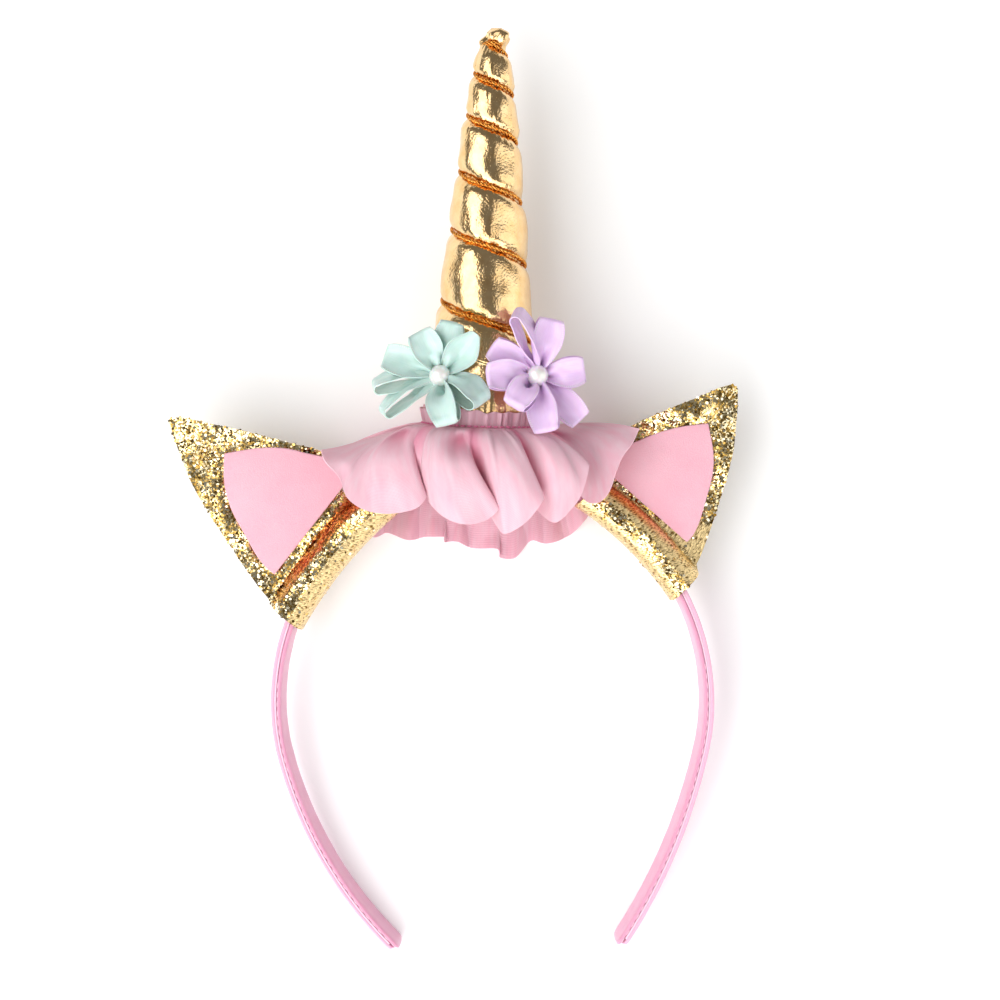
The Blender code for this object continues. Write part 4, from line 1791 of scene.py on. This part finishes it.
@dataclass
class Ruffle:
    """The chiffon gathered round the horn's foot, in two halves with folds that lap over each other."""

    shop: Workshop
    horn: Horn
    wall: float = 0.00035
    gather: float = 0.0120
    heading: float = 0.0055
    clearance: float = 0.0009
    side_gap: float = 0.5
    pleats: int = 10
    pleat: float = 0.0008
    columns: int = 420
    rows: int = 64
    heading_share: float = 0.16
    front_bulge: float = 0.62
    back_bulge: float = 0.30
    left_dip: float = 0.0065
    right_rise: float = 0.0032
    pocket_size: tuple[float, float] = (0.034, 0.16)
    crease: float = 0.0005
    wave: float = 0.0020
    flute: float = 0.0009
    curl: float = 0.0016
    stitch_count: int = 26
    stitch_radius: float = 0.00022

    def point(self, layer: Layer, hem: Sequence[HemPoint], u: float, v: float) -> Vector:
        """A point of one half: v runs from the heading's top over the gather to the hem.

        Args:
            layer: Which half.
            hem: Its hem.
            u: The share along the gather, left to right.
            v: The share down the cloth.

        Returns:
            The point in the flat frame.
        """
        way = layer.value
        degrees = way * (180 - self.side_gap - (180 - 2 * self.side_gap) * u)
        share = self.gather / self.horn.length
        ring = self.horn.radius + self.clearance
        wander = noise.noise(Vector((u * 15, way * 5, 0)))
        phase = 2 * math.pi * (self.pleats * u + 1.1 * wander)
        pleat = self.pleat * (0.5 + 0.5 * math.sin(phase))
        if v <= self.heading_share:
            up = 1 - v / self.heading_share
            frill = 1 + 0.9 * up
            uneven = 0.85 + 0.25 * noise.noise(Vector((u * 14, 9, way)))
            height = share + self.heading * up * uneven / self.horn.length
            return self.horn.point(height, degrees, ring + pleat * frill + 0.0004 * up)
        s = (v - self.heading_share) / (1 - self.heading_share)
        middle = self.horn.point(share, 90, 0)
        gathered = self.horn.point(share, degrees, ring + pleat)
        side, drop, lift, _ = through(hem, u)
        bottom = middle + Vector((side, -drop, lift)) * MM
        out = (gathered - self.horn.point(share, degrees, 0)).normalized()
        bulge = self.front_bulge if way > 0 else self.back_bulge
        knee = gathered + out * ((bottom - gathered).length * bulge)
        if way > 0:
            knee.y += self.right_rise * ease(u, 0.86, 1.0) - self.left_dip * (1 - ease(u, 0.0, 0.13))
        place = gathered * (1 - s) ** 2 + knee * (2 * s * (1 - s)) + bottom * s**2
        fine = noise.noise(Vector((u * 40, s * 1.8, way * 3))) * self.crease
        broad = noise.noise(Vector((u * 13, s * 1.6, way * 7))) * self.wave
        radial = self.flute * math.sin(phase) * (1 - s) ** 3.2 * ease(s, 0.0, 0.10)
        turned = 0.4 + 1.6 * noise.noise(Vector((u * 27, 4, way)))
        place += out * (radial + (fine + broad) * math.sin(math.pi * min(1, s * 0.9)))
        place.z -= self.curl * way * ease(s, 0.80, 1.0) * turned
        if way > 0:
            place.z -= sum(pocket.depth * self.inside(pocket, u, s) for pocket in POCKETS)
        return place

    def inside(self, pocket: Pocket, u: float, s: float) -> float:
        """How far inside a pocket a place of the cloth below the gather is, from 0 to 1."""
        wide, tall = self.pocket_size
        return math.exp(-(((u - pocket.along) / wide) ** 2) - ((s - pocket.down) / tall) ** 2)

    def layered_and_painted_shade(self, layer: Layer, hem: Sequence[HemPoint], u: float, v: float) -> float:
        """How much a place's colour deepens, from 0 to 1: partly for cloth lying in layers in its folds and
        at the gather, partly painted shade in those folds and in the front's hollows.

        Args:
            layer: Which half.
            hem: Its hem.
            u: The share along the gather.
            v: The share down the cloth.

        Returns:
            The deepening.
        """
        if v <= self.heading_share:
            return 0.15
        s = (v - self.heading_share) / (1 - self.heading_share)
        fold = through(hem, u)[3] * (1 - ease(s, 0.55, 0.95))
        gather = 0.35 * (1 - ease(s, 0.0, 0.22))
        # Painted shade in the front's hollows, where the cloth lies in one layer.
        hollow = max(self.inside(pocket, u, s) for pocket in POCKETS) if layer is Layer.FRONT else 0.0
        return min(1.0, max(0.0, fold, gather, 0.9 * hollow))

    def make_half(self, layer: Layer, hem: Sequence[HemPoint]) -> bpy.types.Object:
        """One half of the ruffle, kept above the floor.

        Args:
            layer: Which half.
            hem: Its hem.

        Returns:
            The piece.
        """
        floor = self.shop.lie.inverted()

        def at(u: float, v: float) -> Vector:
            """Places the cloth, pushed up where it would go through the floor.

            Args:
                u: The share across, from 0 to 1.
                v: The share along, from 0 to 1.

            Returns:
                The point in the flat frame.
            """
            place = self.point(layer, hem, u, v)
            world = self.shop.lie @ place
            low = self.wall / 2 + 0.00005
            if world.z < low:
                world.z = low + 0.0004 * abs(noise.noise(world * 300))
                place = floor @ world
            return place

        cut = (0.24, self.heading + 0.036)
        name = f"ruffle_{layer.name.lower()}_cloth"
        piece = self.shop.surface(name, self.columns, self.rows, at, cut)
        # How much the colour deepens, for layered cloth and as painted shade in folds and hollows.
        tone = piece.data.attributes.new("layered_and_painted_shade", "FLOAT", "POINT")
        for vert, point in zip(piece.data.attributes["cloth"].data, tone.data):
            flat = vert.vector * MM
            point.value = self.layered_and_painted_shade(layer, hem, flat.x / cut[0], flat.y / cut[1])
        self.shop.walled(piece, self.wall)
        self.shop.smooth(piece, 60)
        return piece

    def stitches(self) -> bpy.types.Object:
        """The running stitch that gathers the front half.

        Returns:
            The piece.
        """
        share = (self.gather + 0.0005) / self.horn.length
        ring = self.horn.radius + self.clearance + self.pleat
        lines = []
        for i in range(self.stitch_count):
            line = []
            for k in range(5):
                degrees = 172 - 164 * (i + 0.6 * k / 4) / self.stitch_count
                bow = 0.0004 + 0.00035 * math.sin(math.pi * k / 4)
                line.append(self.horn.point(share, degrees, ring + bow))
            lines.append(line)
        return self.shop.strands("ruffle_gather_stitches", lines, self.stitch_radius, 6)

    def build(self) -> None:
        """Makes both halves and the stitch that gathers them."""
        front = self.make_half(Layer.FRONT, FRONT_HEM)
        self.shop.hand_over(front, PINK_CHIFFON, "pink_chiffon", "ruffle_front")
        back = self.make_half(Layer.BACK, BACK_HEM)
        # The back half takes a darker copy of the chiffon as painted shade.
        self.shop.hand_over(back, SHADED_BACK_CHIFFON, "pink_chiffon", "ruffle_back")
        self.shop.hand_over(self.stitches(), GATHER_THREAD, "pink_chiffon")


# The flowers


@dataclass(frozen=True)
class Form:
    """How a petal's ribbon is folded, with its lengths as shares of the petal's."""

    twist: float
    width: float
    loop: float
    lift: float
    rise: float
    below: float = 0.0
    closed: bool = True
    hole: float = 0.0
    pointed: float = 0.0


class PetalForm(Enum):
    """The ways that the photograph shows a petal."""

    WIDE = Form(twist=8, width=0.88, loop=0.055, lift=0.05, rise=0.17)
    BEHIND = Form(twist=-4, width=0.84, loop=0.05, lift=0.03, rise=0.14, below=0.0016)
    DISH = Form(twist=12, width=0.95, loop=0.0, lift=0.0, rise=0.30, closed=False, pointed=0.45)
    NARROW = Form(twist=68, width=0.74, loop=0.080, lift=0.06, rise=0.03)
    CURLED = Form(twist=-42, width=0.84, loop=0.13, lift=0.08, rise=0.06)
    CUP = Form(twist=12, width=0.84, loop=0.11, lift=0.10, rise=0.16, hole=0.20)


class Petal(NamedTuple):
    """A petal's direction and lift in degrees, its length, and its form."""

    direction: float
    lift: float
    length: float
    form: PetalForm


@dataclass
class Flower:
    """A ribbon flower: eight folded petals round a pearl."""

    shop: Workshop
    name: str
    centre: Vector
    petals: Sequence[Petal]
    satin: Finish
    slot: str
    ribbon: float = 0.0098
    wall: float = 0.00028
    root: float = 0.0022
    pearl: float = 0.0030
    pearl_seat: float = PEARL_SEAT
    drilled: float = 0.0009
    pinch: float = 0.0012
    crumple: float = 0.0004
    rows: int = 60
    columns: int = 20
    # share of the petal's length, share of its width
    outline: tuple = (
        (0.00, 0.26),
        (0.15, 0.36),
        (0.35, 0.68),
        (0.55, 0.94),
        (0.72, 1.00),
        (0.88, 0.93),
        (1.00, 0.78),
    )

    def line(self, v: float, petal: Petal) -> tuple[float, float]:
        """How far out and how high a petal's ribbon runs, at a share of its way out and back.

        Args:
            v: The share along, from 0 to 1.
            petal: The petal.

        Returns:
            The way out and the height.
        """
        form = petal.form.value
        if not form.closed:
            return self.root + (petal.length - self.root) * v, 0.0
        radius = form.loop * petal.length
        reach = petal.length - radius
        if v < 0.40:
            s = v / 0.40
            return self.root + (reach - self.root) * s, -0.2 * radius * (1 - s)
        if v < 0.60:
            turn = math.pi * (v - 0.40) / 0.20
            return reach + radius * math.sin(turn), radius * (1 - math.cos(turn))
        s = (v - 0.60) / 0.40
        bulge = form.lift * petal.length * math.sin(math.pi * s) ** 1.2
        return reach - (reach - self.root) * s, 2 * radius * (1 - 0.85 * s**2) + bulge

    def at(self, u: float, v: float, petal: Petal, seed: float) -> Vector:
        """A point of a petal along +X: u runs across the ribbon and v along it.

        Args:
            u: The share across, from 0 to 1.
            v: The share along, from 0 to 1.
            petal: The petal.
            seed: Sets the petal's own creases.

        Returns:
            The point.
        """
        form = petal.form.value
        x, z = self.line(v, petal)
        wide = read(self.outline, x / petal.length)[0]
        wide -= form.pointed * ease(x / petal.length, 0.62, 1.05)
        full = self.ribbon * form.width * wide
        across = u - 0.5
        z += form.rise * full * (2 * across) ** 2
        pinch = self.pinch * (1 - ease(x, 0.2 * petal.length, 0.6 * petal.length))
        if form.hole and v > 0.6:
            off = math.hypot((x / petal.length - 0.36) / 0.15, full * across / 0.0016)
            z -= form.hole * petal.length * math.exp(-(off**2))
        z += pinch * math.cos(3 * math.pi * across + seed)
        z += self.crumple * noise.noise(Vector((x * 260, across * 3, seed)))
        place = Vector((x, full * across, z))
        return Matrix.Rotation(math.radians(form.twist), 3, "X") @ place

    def make_petal(self, number: int, petal: Petal) -> bpy.types.Object:
        """One folded ribbon petal, in its place.

        Args:
            number: The petal's number.
            petal: The petal.

        Returns:
            The piece.
        """
        form = petal.form.value
        turned = Matrix.Rotation(math.radians(petal.direction), 4, "Z")
        lifted = Matrix.Rotation(-math.radians(petal.lift), 4, "Y")
        place = Matrix.Translation(self.centre - FRONT_WAY * form.below) @ turned @ lifted

        def at(u: float, v: float) -> Vector:
            """Places the petal round the flower's centre."""
            return place @ self.at(u, v, petal, number * 1.7)

        length = petal.length * (2.2 if form.closed else 1.0)
        cut = (self.ribbon, length)
        piece = self.shop.surface(f"{self.name}_ribbon_{number}", self.columns, self.rows, at, cut)
        area = sum(face.area for face in piece.data.polygons)
        self.shop.walled(piece, self.wall)
        self.shop.smooth(piece, 60)
        max(0.01, self.ribbon)
        area / max(0.01, self.ribbon)
        return piece

    def make_pearl(self) -> bpy.types.Object:
        """The pearl bead, drilled from side to side for its thread.

        Returns:
            The piece.
        """
        deselect()
        bpy.ops.mesh.primitive_uv_sphere_add(segments=48, ring_count=32, radius=self.pearl)
        piece = bpy.context.object
        piece.name = f"{self.name}_bead"
        for way in (1, -1):
            self.shop.edit(
                piece,
                lambda: bpy.ops.mesh.select_mode(type="FACE"),
                lambda: bpy.ops.mesh.select_all(action="DESELECT"),
            )
            for face in piece.data.polygons:
                face.select = face.center.z * way > 0.985 * self.pearl
            bpy.ops.object.mode_set(mode="EDIT")
            bpy.ops.mesh.inset(thickness=0.00008, depth=-0.00004)
            bpy.ops.mesh.inset(thickness=0.00004, depth=-self.drilled)
            bpy.ops.mesh.select_mode(type="VERT")
            bpy.ops.object.mode_set(mode="OBJECT")
        middle = self.shop.lie @ (self.centre + FRONT_WAY * self.pearl_seat)
        piece.data.transform(Matrix.Translation(middle) @ Matrix.Rotation(math.radians(74), 4, "Y"))
        return self.shop.smooth(piece, 50)

    def build(self) -> None:
        """Makes the petals and the pearl."""
        for number, petal in enumerate(self.petals, 1):
            piece = self.make_petal(number, petal)
            self.shop.hand_over(piece, self.satin, self.slot, f"{self.name}_petal_{number}")
        self.shop.hand_over(self.make_pearl(), PEARL_COAT, "pearl", f"{self.name}_pearl")


MINT_CENTRE = Vector((-0.0146, 0.0938525, 0.0118))
LILAC_CENTRE = Vector((0.0125, 0.0938525, 0.0110))
MINT_PETALS = (
    Petal(116, 13, 0.0140, PetalForm.WIDE),
    Petal(76, 15, 0.0160, PetalForm.BEHIND),
    Petal(50, 24, 0.0170, PetalForm.DISH),
    Petal(-38, 27, 0.0162, PetalForm.CURLED),
    Petal(-78, 30, 0.0166, PetalForm.CUP),
    Petal(-141, 8, 0.0192, PetalForm.NARROW),
    Petal(-165, 4, 0.0188, PetalForm.NARROW),
    Petal(161, 3, 0.0163, PetalForm.WIDE),
)
LILAC_PETALS = (
    Petal(114, 21, 0.0200, PetalForm.NARROW),
    Petal(77, 6, 0.0163, PetalForm.WIDE),
    Petal(8, 3, 0.0132, PetalForm.WIDE),
    Petal(-46, 8, 0.0176, PetalForm.BEHIND),
    Petal(-80, 26, 0.0178, PetalForm.WIDE),
    Petal(-127, 34, 0.0140, PetalForm.CUP),
    Petal(180, 29, 0.0166, PetalForm.WIDE),
    Petal(147, 26, 0.0172, PetalForm.BEHIND),
)


# The finishes used

BAND_SATIN = Satin("band_satin", (0.90, 0.52, 0.68), (0.84, 0.44, 0.60), width=0.0208, selvedge=0.0)
LINING_SATIN = Satin("lining_satin", (0.82, 0.38, 0.54), (0.74, 0.30, 0.46), width=0.0208, selvedge=0.0)
# Thread for the stitches, and also the painted highlight on the band's folded edge.
STITCH_THREAD_AND_EDGE_HIGHLIGHT = Thread("stitch_thread_and_edge_highlight", (1.0, 0.68, 0.80), (0.94, 0.58, 0.73), metallic=0.0, roughness=0.4)
GATHER_THREAD = Thread("gather_thread", (0.85, 0.25, 0.42), (0.75, 0.18, 0.35), metallic=0.0, roughness=0.6)
GOLD_LAME = Lame("gold_lame_cloth", (0.92, 0.65, 0.34), (0.84, 0.54, 0.24))
GOLD_CORD = Thread("gold_cord_thread", (1.0, 0.52, 0.12), (0.45, 0.12, 0.01), roughness=0.26, fibre=0.0004)
GOLD_GLITTER = Glitter("gold_glitter_sheet", (0.14, 0.07, 0.01), (0.56, 0.36, 0.09), (1.0, 0.86, 0.55))
GLITTER_FLAKE = Flake("gold_glitter_flake", (0.26, 0.14, 0.02), (0.78, 0.54, 0.18), (1.0, 0.93, 0.70))
WOVEN_GOLD = Woven("woven_gold_cloth", (1.0, 0.76, 0.38), (0.20, 0.11, 0.03))
# The third colour is the deeper pink of layered cloth and of painted shade in folds and hollows.
PINK_CHIFFON = Chiffon(
    "pink_chiffon_cloth", (1.0, 0.68, 0.76), (1.0, 0.57, 0.67), (1.0, 0.40, 0.54), cover=0.86
)
# A slightly darker copy of the front's chiffon for the back half: painted shade.
SHADED_BACK_CHIFFON = Chiffon(
    "pink_chiffon_back_painted_shade", (1.0, 0.64, 0.73), (1.0, 0.54, 0.65), (1.0, 0.42, 0.56), cover=0.92
)
PANEL_FELT = Felt("pink_felt_cloth", (0.90, 0.52, 0.60), (0.87, 0.45, 0.54))
MINT_SATIN = Satin("mint_satin", (0.65, 0.82, 0.77), (0.52, 0.73, 0.67), width=0.0098)
LILAC_SATIN = Satin("lilac_satin", (0.86, 0.65, 0.90), (0.79, 0.53, 0.84), width=0.0098)
# The second colour is painted shade at the bead's rim.
PEARL_COAT = Pearl("pearl_coat", (0.97, 0.94, 0.90), (0.80, 0.78, 0.80))
PALE_FLOOR = Floor("pale_floor", (0.96, 0.96, 0.96))


# The studio


@dataclass(frozen=True)
class Softbox:
    """A soft light: its tilts from overhead to the right and to the front, its distance, size and power."""

    name: str
    right: float
    front: float
    distance: float
    size: tuple[float, float]
    power: float


@dataclass
class Studio:
    """The pale floor, the soft lights and the camera over the object."""

    shop: Workshop
    aim: Vector = field(default_factory=lambda: Vector((0.0021, 0.0581, 0)))
    height: float = 0.700
    reference: float = 0.010
    span: float = 0.286
    sensor: float = 36.0
    floor_size: float = 6.0
    ambient: float = 0.19
    lights: tuple = (
        Softbox("key_light", -36, 10, 0.90, (1.68, 0.84), 11.0),
        Softbox("fill_light", 66, 8, 1.00, (0.90, 1.40), 5.0),
        Softbox("front_light", 0, 60, 1.00, (1.60, 0.60), 6.8),
    )

    def floor(self) -> None:
        """The floor, which isn't part of the object."""
        deselect()
        bpy.ops.mesh.primitive_plane_add(size=self.floor_size)
        ground = bpy.context.object
        ground.name = "floor"
        ground.data.materials.append(PALE_FLOOR.material())
        ground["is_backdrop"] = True

    def light(self, box: Softbox) -> None:
        """One softbox, turned to the object.

        Args:
            box: The softbox.
        """
        low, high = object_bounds()
        middle = (low + high) / 2
        a, b = math.radians(box.right), math.radians(box.front)
        way = Vector((math.sin(a), -math.sin(b) * math.cos(a), math.cos(b) * math.cos(a)))
        deselect()
        bpy.ops.object.light_add(type="AREA", location=middle + way * box.distance)
        lamp = bpy.context.object
        lamp.name = box.name
        lamp.data.shape = "RECTANGLE"
        lamp.data.size, lamp.data.size_y = box.size
        lamp.data.energy = box.power
        lamp.rotation_euler = way.to_track_quat("Z", "Y").to_euler()

    def surroundings(self) -> None:
        """An even pale light from all round."""
        scene = bpy.context.scene
        scene.world = bpy.data.worlds.new("studio")
        scene.world.use_nodes = True
        background = scene.world.node_tree.nodes["Background"]
        background.inputs["Color"].default_value = (1, 1, 1, 1)
        background.inputs["Strength"].default_value = self.ambient
        scene.view_settings.view_transform = "Standard"

    def camera(self) -> None:
        """A long lens straight over the photograph's middle."""
        spot = self.shop.lie @ self.aim
        deselect()
        place = (spot.x, spot.y, self.reference + self.height)
        bpy.ops.object.camera_add(location=place, rotation=(0, 0, 0))
        lens = bpy.context.object
        lens.name = "photo_camera"
        lens.data.sensor_width = self.sensor
        lens.data.lens = self.sensor * self.height / self.span
        lens.data.clip_start = 0.01
        bpy.context.scene.camera = lens

    def build(self) -> None:
        """Sets the floor, lights and camera."""
        self.floor()
        self.surroundings()
        for box in self.lights:
            self.light(box)
        self.camera()


# Putting it together


def lie_of(pearl: str, centre: Vector, seat: float) -> Matrix:
    """The matrix that lays the flat frame on the solids, found from a pearl's place in both.

    Args:
        pearl: The pearl's node.
        centre: Its flower's centre in the flat frame.
        seat: How far in front of that centre the pearl's middle is.

    Returns:
        The matrix from the flat frame to the world.
    """
    low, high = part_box(pearl)
    turned = Matrix.Rotation(math.atan(REST_SLOPE), 4, "X")
    flat = centre + FRONT_WAY * seat
    return Matrix.Translation((low + high) / 2 - turned @ flat) @ turned


def main() -> None:
    logging.basicConfig(level=logging.INFO, format="%(message)s")
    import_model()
    solid_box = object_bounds()
    shop = Workshop(lie_of("mint_pearl", MINT_CENTRE, PEARL_SEAT))
    arch = Arch()
    band = Band(shop, arch)
    band.build()
    horn = Horn(shop)
    horn.build()
    Ruffle(shop, horn).build()
    Ear(shop, arch, band, Side.LEFT, LEFT_EAR).build()
    Ear(shop, arch, band, Side.RIGHT, RIGHT_EAR).build()
    Flower(shop, "mint", MINT_CENTRE, MINT_PETALS, MINT_SATIN, "mint_ribbon").build()
    Flower(shop, "lilac", LILAC_CENTRE, LILAC_PETALS, LILAC_SATIN, "lilac_ribbon").build()
    Studio(shop).build()
    boxes = {"cad": solid_box, "visual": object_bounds()}
    {name: [list(corner) for corner in box] for name, box in boxes.items()}


if __name__ == "__main__":
    main()
